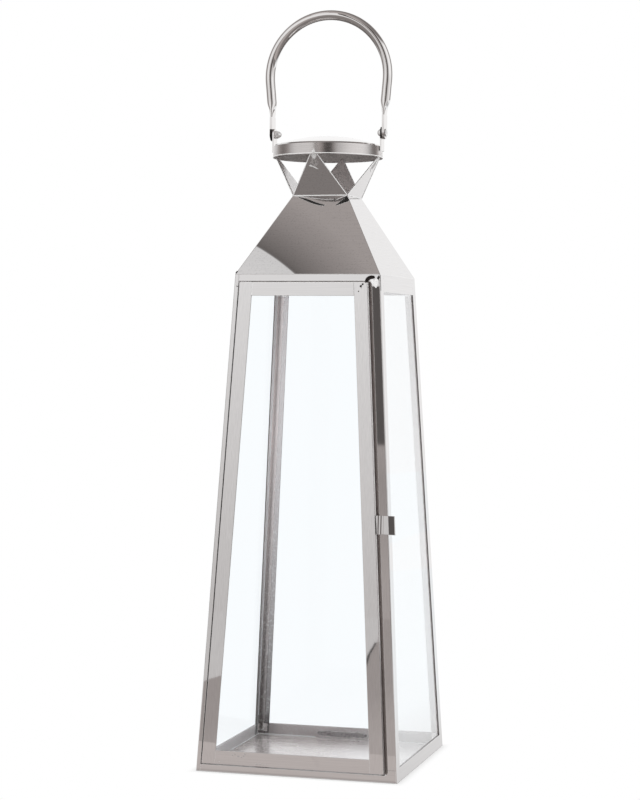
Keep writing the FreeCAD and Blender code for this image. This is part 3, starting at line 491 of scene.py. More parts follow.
# %% Helpers for metal
def use_group(tree, group, **fills):
    """Places a shared effect and gives its outputs."""
    return add_node(tree, "ShaderNodeGroup", {name.capitalize(): value for name, value in fills.items()},
                    node_tree=group).outputs


def mix_values(tree, share, first, second):
    """First value at share 0, second at share 1."""
    return add_node(tree, "ShaderNodeMix", {0: share, 2: first, 3: second}, data_type="FLOAT").outputs[0]


def new_steel(name, metallic=1.0):
    """An empty metal material, and the place that its effects read."""
    made, tree = blank_material(name)
    metal = add_node(tree, "ShaderNodeBsdfPrincipled", {"Metallic": metallic})
    add_node(tree, "ShaderNodeOutputMaterial", {"Surface": metal.outputs[0]})
    return made, tree, metal.inputs, add_node(tree, "ShaderNodeTexCoord").outputs["Object"]


print("metal helpers ready")

# %% [markdown]
# ## Mirror-polished sheet
# Posts, rails, door and roof are thin polished sheet. The reflections are sharp, so the roughness is low, and the
# polishing lines show as faint streaks of tone. Finger smudges dull the sheet a little. The inward faces were never
# polished: they are paler and speckled. Their colour also holds painted shade and light: a level that may change from
# foot to top, and paler faces where they look to the right. A strip that isn't quite flat bends its reflections, so a
# finish may lean the shading normal a little.

# %% Polished sheet
STEEL, SMUDGED_STEEL, SPECK_AND_HIGHLIGHT_STEEL = (0.83, 0.812, 0.81), (0.60, 0.585, 0.585), (0.92, 0.91, 0.905)
INSIDE_STEEL, INSIDE_METAL = (0.74, 0.675, 0.665), 0.6
# Inward faces that look to the right are painted paler: painted light from the right.
RIGHT_LIT_STEEL, SIDE_METAL = (0.86, 0.81, 0.80), 0.3
CUT_EDGE_SHADE = (0.12, 0.105, 0.10)
EDGE_WIDTH, LOW_TO_HIGH = 0.0006, (0.04, 0.32)


def inside_of(tree, place, sideways, colour, shade):
    """The inward faces' colour: painted shade from foot to top, and painted light where they look right."""
    grit = use_group(tree, fine_specks, place=place, grain=420.0, cover=0.55)["Speck"]
    back = mix_colours(tree, sideways, shaded(colour), shaded(RIGHT_LIT_STEEL))
    level = span(tree, split(tree, place)["Z"], *LOW_TO_HIGH, *shade)
    back = mix_colours(tree, 1.0, back, level, blend="MULTIPLY")
    return mix_colours(tree, maths(tree, "MULTIPLY", grit, 0.32), back, shaded(SPECK_AND_HIGHLIGHT_STEEL))


def mirror_sheet(name, lines, streak=0.05, smudge=0.35, grain=0.0, polish=0.018, inner_rough=0.30, lean=None,
                 inner_shade=(1.0, 1.0), inner_metal=INSIDE_METAL, inner_colour=INSIDE_STEEL, side_metal=SIDE_METAL):
    """Polished sheet: sharp reflections, lines, smudges, painted edge highlight and cut-edge shade, paler inward faces.
    """
    made, tree, metal, place = new_steel(name)
    line = use_group(tree, brushed_lines, place=place, lines=lines)["Line"]
    cloud = use_group(tree, cloudy_smudges, place=place, size=28.0, cover=smudge)["Smudge"]
    speck = use_group(tree, fine_specks, place=place, grain=700.0, cover=0.5)["Speck"]
    edge = use_group(tree, bright_edges, width=EDGE_WIDTH)
    inside = facing_in(tree, place)
    sideways = span(tree, split(tree, normal_of(tree))["X"], 0.5, 0.8)
    sheet = mix_colours(tree, line, shaded(STEEL, 1 - 2 * streak), shaded(STEEL))
    sheet = mix_colours(tree, maths(tree, "MULTIPLY", speck, grain), sheet, shaded(STEEL, 0.55))
    sheet = mix_colours(tree, maths(tree, "MULTIPLY", cloud, 0.3), sheet, shaded(SMUDGED_STEEL))
    # Painted highlight: the edges that the Bevel node finds are painted pale.
    sheet = mix_colours(tree, edge["Edge"], sheet, shaded(SPECK_AND_HIGHLIGHT_STEEL))
    sheet = mix_colours(tree, inside, sheet, inside_of(tree, place, sideways, inner_colour, inner_shade))
    # Painted shade: the cut edges are painted nearly black.
    sheet = mix_colours(tree, cut_edge(tree, place), sheet, shaded(CUT_EDGE_SHADE))
    tree.links.new(sheet, metal["Base Color"])
    sheen = maths(tree, "ADD", polish, maths(tree, "MULTIPLY", cloud, 0.10))
    tree.links.new(mix_values(tree, inside, sheen, inner_rough), metal["Roughness"])
    inward = mix_values(tree, sideways, inner_metal, side_metal)
    tree.links.new(mix_values(tree, inside, 1.0, inward), metal["Metallic"])
    normal = edge["Rounded"]
    if lean:
        normal = vectors(tree, "NORMALIZE", vectors(tree, "ADD", normal, lean(tree, place)))
    tree.links.new(normal, metal["Normal"])
    return made


print("sheet thickness read as a cut edge:", SHEET_THICK, "m")

# %% [markdown]
# ## The sheet's own finishes
# Polishing lines run along each strip: upright on posts and stiles, level on sills and rails. The latch post is bowed
# a little, and the latch strip is wavy beside its bend. The back left post is painted darker inside near its foot, a
# painted shade, and the back right post and the left sill are painted pale inside, painted light. The roof has the
# sharpest polish, over a fine grain, and its inward faces that look to the right are painted paler, painted light.

# %% Sheet finishes
def post_bow(tree, place):
    """The latch post is bowed a little to the right."""
    return (0.02, 0.0, 0.0)


def latch_bow(tree, place):
    """The latch strip is a little wavy beside its bend."""
    across = split(tree, place)["X"]
    wave = maths(tree, "SINE", maths(tree, "MULTIPLY", across, 2 * math.pi / 0.0027))
    share = maths(tree, "MULTIPLY", wave, span(tree, across, 0.0795, 0.0815, 0.24, 0.0))
    return add_node(tree, "ShaderNodeCombineXYZ", {0: share}).outputs[0]


ALONG_Z, ACROSS_Z = (1800.0, 1800.0, 14.0), (14.0, 14.0, 1800.0)
frame_steel = mirror_sheet("frame_steel", ALONG_Z)
rail_steel = mirror_sheet("rail_steel", ACROSS_Z, smudge=0.5)
latch_post_steel = mirror_sheet("latch_post_steel", ALONG_Z, lean=post_bow)
latch_steel = mirror_sheet("latch_steel", ALONG_Z, lean=latch_bow)
roof_steel = mirror_sheet("roof_steel", (30.0, 30.0, 3000.0), smudge=0.15, grain=0.25, polish=0.004,
                          inner_rough=0.20, inner_shade=(1.0, 1.3), inner_colour=(0.565, 0.532, 0.525))
painted_shade_post_steel = mirror_sheet("painted_shade_post_steel", ALONG_Z, inner_shade=(0.38, 1.15))
painted_light_post_steel = mirror_sheet("painted_light_post_steel", ALONG_Z, inner_shade=(1.34, 1.34), inner_metal=0.1)
painted_light_sill_steel = mirror_sheet("painted_light_sill_steel", ACROSS_Z, smudge=0.5, inner_shade=(1.16, 1.16), side_metal=0.02)
print("sheet finishes:", [made.name for made in (frame_steel, rail_steel, latch_post_steel, latch_steel, roof_steel,
                                                 painted_shade_post_steel, painted_light_post_steel, painted_light_sill_steel)])

# %% [markdown]
# ## Brushed steel
# The handle, the floor, the clips and the solder are satin: fine lines scatter the reflections along one direction.
# One recipe serves them all. The lines feed the colour, the roughness and a fine bump, and specks and dull clouds lie
# over them. A finish may measure its place in another way, and may have a patch of another colour.

# %% Brushed sheet
def fine_relief(tree, line, strength):
    """A bump of a tenth of a millimetre along the lines."""
    return add_node(tree, "ShaderNodeBump", {"Strength": strength, "Distance": 0.0001, "Height": line}).outputs[0]


def brushed_sheet(name, colour, lines, place_of=None, rough=0.30, streak=0.12, bump=0.10, specks=0.3, clouds=0.3,
                  metallic=1.0, patch=None, grit=0.35, grain=1100.0):
    """Satin steel with lines, specks and dull patches."""
    made, tree, metal, place = new_steel(name, metallic)
    spot = place_of(tree, place) if place_of else place
    line = use_group(tree, brushed_lines, place=spot, lines=lines)["Line"]
    cloud = use_group(tree, cloudy_smudges, place=place, size=60.0, cover=0.45)["Smudge"]
    speck = use_group(tree, fine_specks, place=spot, grain=grain, cover=specks)["Speck"]
    edge = use_group(tree, bright_edges, width=EDGE_WIDTH)["Edge"]
    sheet = mix_colours(tree, line, shaded(colour, 1 - 2 * streak), shaded(colour))
    sheet = mix_colours(tree, maths(tree, "MULTIPLY", cloud, clouds), sheet, shaded(colour, 0.8))
    sheet = mix_colours(tree, maths(tree, "MULTIPLY", speck, grit), sheet, shaded(colour, 1.12))
    # Painted highlight: the edges that the Bevel node finds are painted pale.
    sheet = mix_colours(tree, edge, sheet, shaded(SPECK_AND_HIGHLIGHT_STEEL))
    if patch:
        mask, other = patch
        sheet = mix_colours(tree, mask(tree, place), sheet, shaded(other))
    tree.links.new(sheet, metal["Base Color"])
    tree.links.new(span(tree, line, 0.0, 1.0, rough * 0.85, rough * 1.15), metal["Roughness"])
    tree.links.new(fine_relief(tree, line, bump), metal["Normal"])
    return made


def even(density):
    """Lines of the same density in all directions, which is grain."""
    return (density, density, density)


print("brushed recipe ready")

# %% [markdown]
# ## Clips, rivets, bright edges and the stop
# The clips are bent strip with a mill finish. The rivets are bright and even. Beads on filed edges, folds and seams
# are painted nearly white and hardly metallic: a painted highlight, for an edge that turns to the light in every
# direction. The strip behind the door's gap is rough sheet, painted darker as the shade in that gap.

# %% Small brushed finishes
clip_steel = brushed_sheet("clip_steel", (0.80, 0.78, 0.77), (30.0, 30.0, 1200.0), rough=0.20)
rivet_steel = brushed_sheet("rivet_steel", (0.93, 0.92, 0.915), even(300.0), rough=0.10, streak=0.03, bump=0.02,
                            metallic=0.6)
painted_highlight = brushed_sheet("painted_highlight", (0.97, 0.965, 0.96), even(300.0), rough=0.35, streak=0.02, bump=0.0,
                            specks=0.1, clouds=0.1, metallic=0.15)
gap_shade_strip = brushed_sheet("gap_shade_strip", (0.72, 0.665, 0.645), (900.0, 900.0, 12.0), rough=0.38)
print("brushed finishes:", clip_steel.name, rivet_steel.name, painted_highlight.name, gap_shade_strip.name)

# %% [markdown]
# ## The handle's finish
# The handle was polished along its tube before it was bent, so its lines follow the bend: the finish measures the
# distance from the arch's centre instead of a straight width. It is nearly a mirror, and it is painted nearly black
# at the front edges beside the rivets, a painted shade.

# %% Handle finish
ARCH_CENTRE = 0.6781
PIVOT_SHADE_UP, PIVOT_SHADE_HALF, LEFT_BLADE = 0.6208, 0.0056, -0.0561
RIGHT_EAR, EAR_HALF = 0.0552, 0.0009


def along_bail(tree, place):
    """Place measured across the bent tube: its distance from the arch's centre, and its depth."""
    parts = split(tree, place)
    above = maths(tree, "MAXIMUM", maths(tree, "SUBTRACT", parts["Z"], ARCH_CENTRE), 0.0)
    squares = [maths(tree, "POWER", part, 2.0) for part in (parts["X"], above)]
    reach = maths(tree, "SQRT", maths(tree, "ADD", *squares))
    return add_node(tree, "ShaderNodeCombineXYZ", {0: reach, 1: parts["Y"], 2: parts["Z"]}).outputs[0]


def pivot_shade(tree, place):
    """1 on the front edges of the blade and the ear beside the rivets, which are painted dark as shade."""
    spot = split(tree, place)
    level = maths(tree, "COMPARE", spot["Z"], PIVOT_SHADE_UP, PIVOT_SHADE_HALF)
    front = maths(tree, "LESS_THAN", split(tree, normal_of(tree))["Y"], -0.4)
    shaded_part = maths(tree, "MAXIMUM", maths(tree, "LESS_THAN", spot["X"], LEFT_BLADE),
                  maths(tree, "COMPARE", spot["X"], RIGHT_EAR, EAR_HALF))
    return both(tree, both(tree, level, front), shaded_part)


handle_steel = brushed_sheet("handle_steel", (0.95, 0.925, 0.915), (1500.0, 1500.0, 8.0), along_bail, rough=0.02,
                             streak=0.07, bump=0.0, specks=0.1, clouds=0.1, patch=(pivot_shade, (0.036, 0.032, 0.030)))
print("handle finish:", handle_steel.name)

# %% [markdown]
# ## Floor plate and hem
# The floor plate is satin. Its marks run from front to back, as a hand wipes it, and its right side is painted
# brighter, painted light from the right. The door's rolled hem is bright too, and painted darker near its foot, a
# painted shade. Both have a patch of another colour that comes in softly along one direction.

# %% Floor and hem finishes
def swept(tree, place):
    """The place with its depth drawn together, so that marks run from the front to the back."""
    return vectors(tree, "MULTIPLY", place, (1.0, 0.4, 1.0))


def lit_side(tree, place):
    """1 toward the right, where the floor plate is painted brighter: painted light from the right."""
    return span(tree, split(tree, place)["X"], -0.01, 0.075)


def low_end(tree, place):
    """1 near the foot of the lantern, where the hem is painted darker: painted shade."""
    return span(tree, split(tree, place)["Z"], 0.14, 0.10)


floor_steel = brushed_sheet("floor_steel", (0.75, 0.69, 0.675), (30.0, 900.0, 30.0), swept, rough=0.24, streak=0.07,
                            specks=0.42, metallic=0.6, patch=(lit_side, (0.97, 0.945, 0.94)), grit=0.6, grain=450.0)
hem_steel = brushed_sheet("hem_steel", (0.86, 0.84, 0.835), even(300.0), rough=0.25, streak=0.03, bump=0.0,
                          specks=0.1, clouds=0.1, metallic=0.5, patch=(low_end, (0.36, 0.335, 0.33)))
print("floor and hem finishes:", floor_steel.name, hem_steel.name)

# %% [markdown]
# ## The cap
# The cap is spun from one disc. Its dome is polished, its band is brushed round and crossed by upright scratches, and
# its underside is left dull and grainy. Three materials would need the faces sorted by hand, so one material tells
# them apart by how far the face looks up.

# %% Cap finish
BAND_STEEL, UNDER_STEEL, DOME_STEEL = (0.81, 0.775, 0.765), (0.70, 0.67, 0.66), (0.88, 0.865, 0.86)
BAND_ROUGH, DOME_ROUGH, UNDER_ROUGH, UNDER_METAL = 0.21, 0.06, 0.30, 0.65

cap_steel, tree, metal, place = new_steel("cap_steel")
upward = split(tree, normal_of(tree))["Z"]
on_dome = span(tree, upward, 0.35, 0.75, soft=True)
inside = maths(tree, "MAXIMUM", span(tree, upward, -0.35, -0.75, soft=True), facing_in(tree, place))
line = use_group(tree, brushed_lines, place=place, lines=(40.0, 40.0, 2600.0))["Line"]
upright = use_group(tree, brushed_lines, place=place, lines=(900.0, 900.0, 25.0))["Line"]
grain = use_group(tree, fine_specks, place=place, grain=800.0, cover=0.6)["Speck"]
band = mix_colours(tree, line, shaded(BAND_STEEL, 0.86), shaded(BAND_STEEL))
band = mix_colours(tree, maths(tree, "MULTIPLY", upright, 0.25), band, shaded(BAND_STEEL, 0.84))
under = mix_colours(tree, grain, shaded(UNDER_STEEL, 0.86), shaded(UNDER_STEEL, 1.1))
outside = mix_colours(tree, on_dome, band, shaded(DOME_STEEL))
tree.links.new(mix_colours(tree, inside, outside, under), metal["Base Color"])
polish = mix_values(tree, on_dome, BAND_ROUGH, DOME_ROUGH)
tree.links.new(mix_values(tree, inside, polish, UNDER_ROUGH), metal["Roughness"])
tree.links.new(mix_values(tree, inside, 1.0, UNDER_METAL), metal["Metallic"])
tree.links.new(fine_relief(tree, line, 0.08), metal["Normal"])
print("cap finish:", cap_steel.name)

# %% [markdown]
# ## Clear glass
# The panes are plain float glass, almost invisible on white: they only cool the light a little. The glass is a real
# slab with two faces, so it bends and mirrors the light by itself. The right pane is seen at a slant, and a clear
# coat gives it the stronger mirror of that angle; the others bend the light less, so that what lies behind them
# stays in its place. Thin clear glass hardly casts a shadow, so the panes cast none.

# %% Glass
def clear_glass(name, bend, coat=0.0):
    """Clear glass that bends light by that index, with a clear coat that mirrors at a slant."""
    made, tree = blank_material(name)
    place = add_node(tree, "ShaderNodeTexCoord").outputs["Object"]
    cloud = use_group(tree, cloudy_smudges, place=place, size=9.0, cover=0.5)["Smudge"]
    tint = mix_colours(tree, cloud, (0.975, 0.990, 1.0, 1.0), (0.982, 0.990, 1.0, 1.0))
    clear = add_node(tree, "ShaderNodeBsdfPrincipled",
                     {"Base Color": tint, "Roughness": 0.0, "IOR": bend, "Metallic": 0.0, "Transmission Weight": 1.0,
                      "Coat Weight": coat, "Coat Roughness": 0.0})
    add_node(tree, "ShaderNodeOutputMaterial", {"Surface": clear.outputs[0]})
    return made


side_glass = clear_glass("side_glass", 1.5, coat=1.0)
thin_glass = clear_glass("thin_glass", 1.05)
pane_glass = clear_glass("pane_glass", 1.15)
GLASSES = (side_glass, thin_glass, pane_glass)
print("glass:", [made.name for made in GLASSES])

# %% [markdown]
# ## Dress the solid pieces
# The solids keep their shapes and only change their finish. A list of 39 names would be long, so a few pieces have
# a finish of their own and the rest take the finish of the first family that their name begins with.

# %% Finishes on the solid pieces
OWN_FINISH = {"post_front_right": latch_post_steel, "post_back_left": painted_shade_post_steel,
              "post_back_right": painted_light_post_steel, "sill_left": painted_light_sill_steel, "door_stop": gap_shade_strip,
              "latch": latch_steel, "pane_right": side_glass, "pane_left": thin_glass}
FAMILIES = [("pane_clips", clip_steel), ("door_clips", clip_steel), ("pane", pane_glass), ("door_pane", pane_glass),
            ("roof_plate", roof_steel), ("sill", rail_steel), ("eave", rail_steel), ("door_rail", rail_steel),
            ("threshold", rail_steel), ("header", rail_steel), ("post", frame_steel), ("door_stile", frame_steel),
            ("cap", cap_steel), ("handle_rivet", rivet_steel), ("handle", handle_steel), ("ear", handle_steel),
            ("floor_plate", floor_steel), ("pivot_pin", rivet_steel)]


def finish_of(name):
    """The finish that a solid piece gets, from its name."""
    return OWN_FINISH.get(name) or next(finish for start, finish in FAMILIES if name.startswith(start))


for name, piece in nodes.items():
    piece.data.materials.clear()
    piece.data.materials.append(finish_of(name))
    if finish_of(name) in GLASSES:
        piece.visible_shadow = False
print("solid pieces dressed:", len(nodes))

# %% [markdown]
# ## New pieces
# Beads, solder and the handle are new meshes. They are drawn in millimetres, because all sizes on the bench are, and
# turned into metres as they are made. Most are rows of points joined by a skin, so one helper makes the skin, and one
# turns it into a piece that rides on its body and takes its finish.

# %% Helpers for pieces
MM, SHARP = 0.001, math.radians(40)


def new_piece(name, shape, body, slot, finish, *replaced):
    """Turns a bmesh into a smooth piece that rides on a body."""
    bmesh.ops.recalc_face_normals(shape, faces=shape.faces)
    mesh = bpy.data.meshes.new(name)
    shape.to_mesh(mesh)
    shape.free()
    for face in mesh.polygons:
        face.use_smooth = True
    mesh.set_sharp_from_angle(angle=SHARP)
    piece = bpy.data.objects.new(name, mesh)
    bpy.context.collection.objects.link(piece)
    mesh.materials.append(finish)
    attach(piece, body)
    if replaced:
        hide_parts(*replaced)
    return piece


def skin_rings(shape, rings, closed=False):
    """Joins rows of points into a skin, and fills both ends unless the row closes on itself."""
    count = len(rings[0])
    for first, second in zip(rings, rings[1:] + rings[:1] if closed else rings[1:]):
        for spot in range(count):
            after = (spot + 1) % count
            shape.faces.new((first[spot], first[after], second[after], second[spot]))
    if not closed:
        shape.faces.new(rings[0])
        shape.faces.new(rings[-1])


def turns_of(count):
    """The turns that divide a circle evenly."""
    return [2 * math.pi * step / count for step in range(count)]


print("piece helpers ready, creases over", round(math.degrees(SHARP)), "degrees stay sharp")

# %% [markdown]
# ## Beads
# A fold or a cut edge in polished sheet is never sharp: it shows as a thin bright line. A line in a texture would
# have no thickness, so each is a fine round bead, swept along a row of points: rings of points stand square to the
# row, and the skin joins them. The beads take a nearly white finish, a painted highlight for that bright line.

# %% Helpers for beads
def add_bead(shape, path, radius, closed=False, sides=10):
    """A round bead along a row of points in millimetres."""
    rings = []
    for number, point in enumerate(path):
        before = path[number - 1] if closed or number else point
        after = path[(number + 1) % len(path)] if closed or number + 1 < len(path) else point
        along = (after - before).normalized()
        side = along.cross(Vector((0, 0, 1)) if abs(along.z) < 0.95 else Vector((1, 0, 0))).normalized()
        up = side.cross(along)
        rings.append([shape.verts.new((point + radius * (math.cos(turn) * side + math.sin(turn) * up)) * MM)
                      for turn in turns_of(sides)])
    skin_rings(shape, rings, closed)


def bead_piece(name, body, slot, finish, runs, **options):
    """A piece of round beads, each with its row of points and its radius."""
    shape = bmesh.new()
    for path, radius in runs:
        add_bead(shape, path, radius, **options)
    return new_piece(name, shape, body, slot, finish)


print("bead helpers ready")

# %% [markdown]
# ## Beads along the roof's folds
# On the roof the painted highlights follow the fold at the neck and the edges of the four petals. All four sides are
# alike, so one side's points are turned by quarters.

# %% Roof beads
NECK_HALF, NECK_UP = 27.6, 558.6
TIP_HALF, TIP_REACH, TIP_UP = 2.0, 53.4, 599.2
FOLD_RADIUS, EDGE_RADIUS = 0.6, 0.4


def quarter_turns(*points):
    """The same points on all four sides of the lantern, side by side."""
    sides = [Matrix.Rotation(math.pi / 2 * number, 3, "Z") for number in range(4)]
    return [[side @ Vector(point) for point in points] for side in sides]


folds = quarter_turns((-NECK_HALF + 0.6, -NECK_HALF, NECK_UP), (NECK_HALF - 0.6, -NECK_HALF, NECK_UP))
fold_beads = bead_piece("neck_fold_beads", "lantern", "roof_steel", painted_highlight,
                        [(fold, FOLD_RADIUS) for fold in folds])
edges = [edge for side in (-1, 1)
         for edge in quarter_turns((side * (NECK_HALF - 0.4), -NECK_HALF - 0.35, NECK_UP + 0.5),
                                   (side * TIP_HALF, -TIP_REACH, TIP_UP))]
edge_beads = bead_piece("petal_edge_beads", "lantern", "roof_steel", painted_highlight,
                        [(edge, EDGE_RADIUS) for edge in edges])
print("roof beads:", fold_beads.name, edge_beads.name)

# %% [markdown]
# ## The bead round the cap
# The rim below the cap's band is turned over, so that it is stiff and not sharp, and its bead is painted nearly white
# as a bright ring, a painted highlight. It is a bead along a level circle. A torus would do as well, but the bead's
# helper is already there.

# %% Cap bead
RIM_REACH, RIM_UP, RIM_RADIUS, RIM_STEPS = 54.0, 597.85, 0.56, 96
rim = [Vector((RIM_REACH * math.cos(turn), RIM_REACH * math.sin(turn), RIM_UP)) for turn in turns_of(RIM_STEPS)]
rim_bead = bead_piece("cap_rim_bead", "lantern", "cap_steel", painted_highlight, [(rim, RIM_RADIUS)], closed=True)
print("cap bead:", rim_bead.name)

# %% [markdown]
# ## The bail handle's tube
# The handle is a tube bent round a former, and its feet are pressed flat for the rivets. Mirror metal shows every
# facet, so the tube is swept again with many more sides than the solid has. A curve with a bevel could sweep a
# circle only. Here each section is drawn: a circle that turns into a flat blade with round corners over the pressed
# length, as the metal does in the press.

# %% Handle tube
BLADE_X, PIVOT_UP, BLADE_UP = 57.45, 621.3, 643.3
PRESS_LOW, PRESS_UP, FOOT_LAP = 638.5, 654.0, 2.0
ARCH_UP, ARCH_RADIUS, LEG_LEAN = 678.1, 60.25, math.radians(4.98)
TUBE_HALF, BLADE_THICK, BLADE_WIDE = 4.9, 1.2, 6.3
FLAT_POWER, ROUND_POWER = 5.0, 2.0
TUBE_SIDES, ARC_STEPS, PRESS_STEPS, LEG_STEPS = 48, 96, 18, 4


def eased(value, low, high):
    """A share from 0 to 1 that starts and ends gently."""
    share = min(max((value - low) / (high - low), 0.0), 1.0)
    return share * share * (3 - 2 * share)


def tube_row():
    """The tube's middle line from the right foot to the left: place, sideways direction and share of roundness."""
    leg_top = ARCH_UP - ARCH_RADIUS * math.sin(LEG_LEAN)
    levels = [PRESS_LOW - FOOT_LAP + (PRESS_UP + FOOT_LAP - PRESS_LOW) * step / PRESS_STEPS
              for step in range(PRESS_STEPS + 1)]
    levels += [PRESS_UP + (leg_top - PRESS_UP) * step / LEG_STEPS for step in range(1, LEG_STEPS)]
    leg = [(Vector((BLADE_X + max(level - BLADE_UP, 0.0) * math.tan(LEG_LEAN), 0.0, level)), Vector((1.0, 0.0, 0.0)),
            eased(level, PRESS_LOW, PRESS_UP)) for level in levels]
    turns = [-LEG_LEAN + (math.pi + 2 * LEG_LEAN) * step / ARC_STEPS for step in range(ARC_STEPS + 1)]
    sides = [Vector((math.cos(turn), 0.0, math.sin(turn))) for turn in turns]
    arc = [(Vector((0.0, 0.0, ARCH_UP)) + ARCH_RADIUS * side, side, 1.0) for side in sides]
    other = [(Vector((-place.x, 0.0, place.z)), Vector((-side.x, 0.0, side.z)), share)
             for place, side, share in reversed(leg)]
    return leg + arc + other


def rounded_section(share):
    """Points round the tube's section: a flat blade at share 0, and a circle at share 1."""
    thick = BLADE_THICK + (TUBE_HALF - BLADE_THICK) * share
    wide = BLADE_WIDE + (TUBE_HALF - BLADE_WIDE) * share
    power = FLAT_POWER + (ROUND_POWER - FLAT_POWER) * eased(share, 0.0, 0.5)
    points = []
    for turn in turns_of(TUBE_SIDES):
        reach = [math.copysign(abs(part) ** (2 / power), part) for part in (math.cos(turn), math.sin(turn))]
        points.append((thick * reach[0], wide * reach[1]))
    return points


shape = bmesh.new()
skin_rings(shape, [[shape.verts.new((place + out * side + Vector((0.0, deep, 0.0))) * MM)
                    for out, deep in rounded_section(share)] for place, side, share in tube_row()])
bail = new_piece("bail_tube", shape, "handle", "handle_steel", handle_steel, "handle")
print("handle tube:", bail.name)

# %% [markdown]
# ## The handle's blades
# Below the pressed length, each foot is a plain plate, round at the bottom, with a hole for its rivet. A boolean
# would cut the hole but leave long thin faces. Instead the outer edge and the hole have the same number of points,
# and the skin runs from one to the other, over the edge and back.

# %% Handle blades
HOLE, FOOT_STEPS, BLADE_STEP = 2.6, 24, 11.0
BLADE_TOP = PRESS_LOW - PIVOT_UP
foot = [(BLADE_WIDE * math.cos(turn), BLADE_WIDE * math.sin(turn))
        for turn in (math.pi + math.pi * step / FOOT_STEPS for step in range(FOOT_STEPS + 1))]
BLADE_EDGE = foot + [(BLADE_WIDE, BLADE_STEP), (BLADE_WIDE, BLADE_TOP), (0.0, BLADE_TOP), (-BLADE_WIDE, BLADE_TOP),
                     (-BLADE_WIDE, BLADE_STEP)]
turns = [math.atan2(up, deep) for deep, up in BLADE_EDGE]
shape = bmesh.new()
for middle in (BLADE_X, -BLADE_X):
    loops = []
    for out in (-BLADE_THICK, BLADE_THICK):
        outer = [(middle + out, deep, PIVOT_UP + up) for deep, up in BLADE_EDGE]
        inner = [(middle + out, HOLE * math.cos(turn), PIVOT_UP + HOLE * math.sin(turn)) for turn in turns]
        loops.append([[shape.verts.new(Vector(point) * MM) for point in loop] for loop in (outer, inner)])
    (outer_a, inner_a), (outer_b, inner_b) = loops
    skin_rings(shape, [inner_a, outer_a, outer_b, inner_b], closed=True)
blades = new_piece("bail_blades", shape, "handle", "handle_steel", handle_steel, "handle")
print("handle blades:", blades.name)

# %% [markdown]
# ## Domed rivets
# Each end of the handle turns on a rivet. The solid model has a bevelled head; the real one is a polished dome that
# mirrors the whole studio, with a flat tail outside. The dome is a profile of reach and place, turned about the
# rivet's axis, and it replaces the plain solid. The left head is the longer one.

# %% Rivets
EAR_INNER, TAIL_INNER, TAIL_OUTER = 54.45, 58.80, 59.80
HEAD_REACH, SHANK_REACH, TAIL_REACH = 4.0, 2.5, 3.8
DOME_STEPS, RIVET_SIDES = 10, 32
TAIL = [(SHANK_REACH, EAR_INNER), (SHANK_REACH, TAIL_INNER), (TAIL_REACH, TAIL_INNER),
        (TAIL_REACH, TAIL_OUTER - 0.4), (TAIL_REACH - 0.5, TAIL_OUTER)]

for label, side, head in (("right", 1, 4.2), ("left", -1, 6.5)):
    dome = [(HEAD_REACH * math.sin(turn), EAR_INNER - head * math.cos(turn))
            for turn in (math.pi / 2 * step / DOME_STEPS for step in range(1, DOME_STEPS + 1))]
    shape = bmesh.new()
    skin_rings(shape, [[shape.verts.new((side * place * MM, reach * math.cos(turn) * MM,
                                         (PIVOT_UP + reach * math.sin(turn)) * MM)) for turn in turns_of(RIVET_SIDES)]
                       for reach, place in [(0.2, EAR_INNER - head)] + dome + TAIL])
    rivet = new_piece(f"domed_rivet_{label}", shape, "lantern", "rivet_steel", rivet_steel, f"handle_rivet_{label}")
    print("rivet:", rivet.name)

# %% [markdown]
# ## Solder
# The pieces are soft-soldered by hand. Solder leaves low, satin lumps with an uneven edge, and the flux leaves dark
# stains beside them. The same dark finish also paints shade in gaps and dark reflections. A bump in the steel's
# material would have no edge of its own. So each lump is drawn as a smooth closed edge on the face that carries it,
# and raised to a low dome.

# %% Solder
solder_steel = brushed_sheet("solder_steel", (0.86, 0.85, 0.84), even(700.0), rough=0.25, streak=0.10, bump=0.35,
                             specks=0.5, metallic=0.3)
stain_shade_and_reflection = brushed_sheet("stain_shade_and_reflection", (0.05, 0.042, 0.04), even(900.0), rough=0.45, streak=0.2, bump=0.2,
                           specks=0.2)
ACROSS, EDGE_STEPS, SINK = Vector((1.0, 0.0, 0.0)), 5, 0.15


def smooth_edge(points):
    """A smooth closed edge through a few points."""
    edge = []
    for number in range(len(points)):
        before, first, second, after = (Vector(points[(number + shift) % len(points)]) for shift in (-1, 0, 1, 2))
        for step in range(EDGE_STEPS):
            share = step / EDGE_STEPS
            edge.append(first + share / 2 * ((second - before) + share * ((2 * before - 5 * first + 4 * second - after)
                                             + share * (3 * first - before - 3 * second + after))))
    return edge


def add_lump(shape, middle, across, up, points, height):
    """A low dome over an edge of (across, up) points in millimetres, on a face."""
    out = across.cross(up).normalized()
    edge = smooth_edge(points)
    rings = []
    for share, rise in ((1.0, -SINK), (1.0, 0.0), (0.9, 0.55 * height), (0.65, 0.9 * height), (0.3, height)):
        rings.append([shape.verts.new((middle + share * (spot.x * across + spot.y * up) + rise * out) * MM)
                      for spot in edge])
    skin_rings(shape, rings)


print("solder finishes:", solder_steel.name, stain_shade_and_reflection.name)

# %% [markdown]
# ## Solder on the petals
# Each petal's tip is soldered to the cap's band: a lump at the tip, one on the band and a run that dripped down the
# petal. Below the tip the hot iron has smeared the polish dull. The same marks are turned to all four sides.

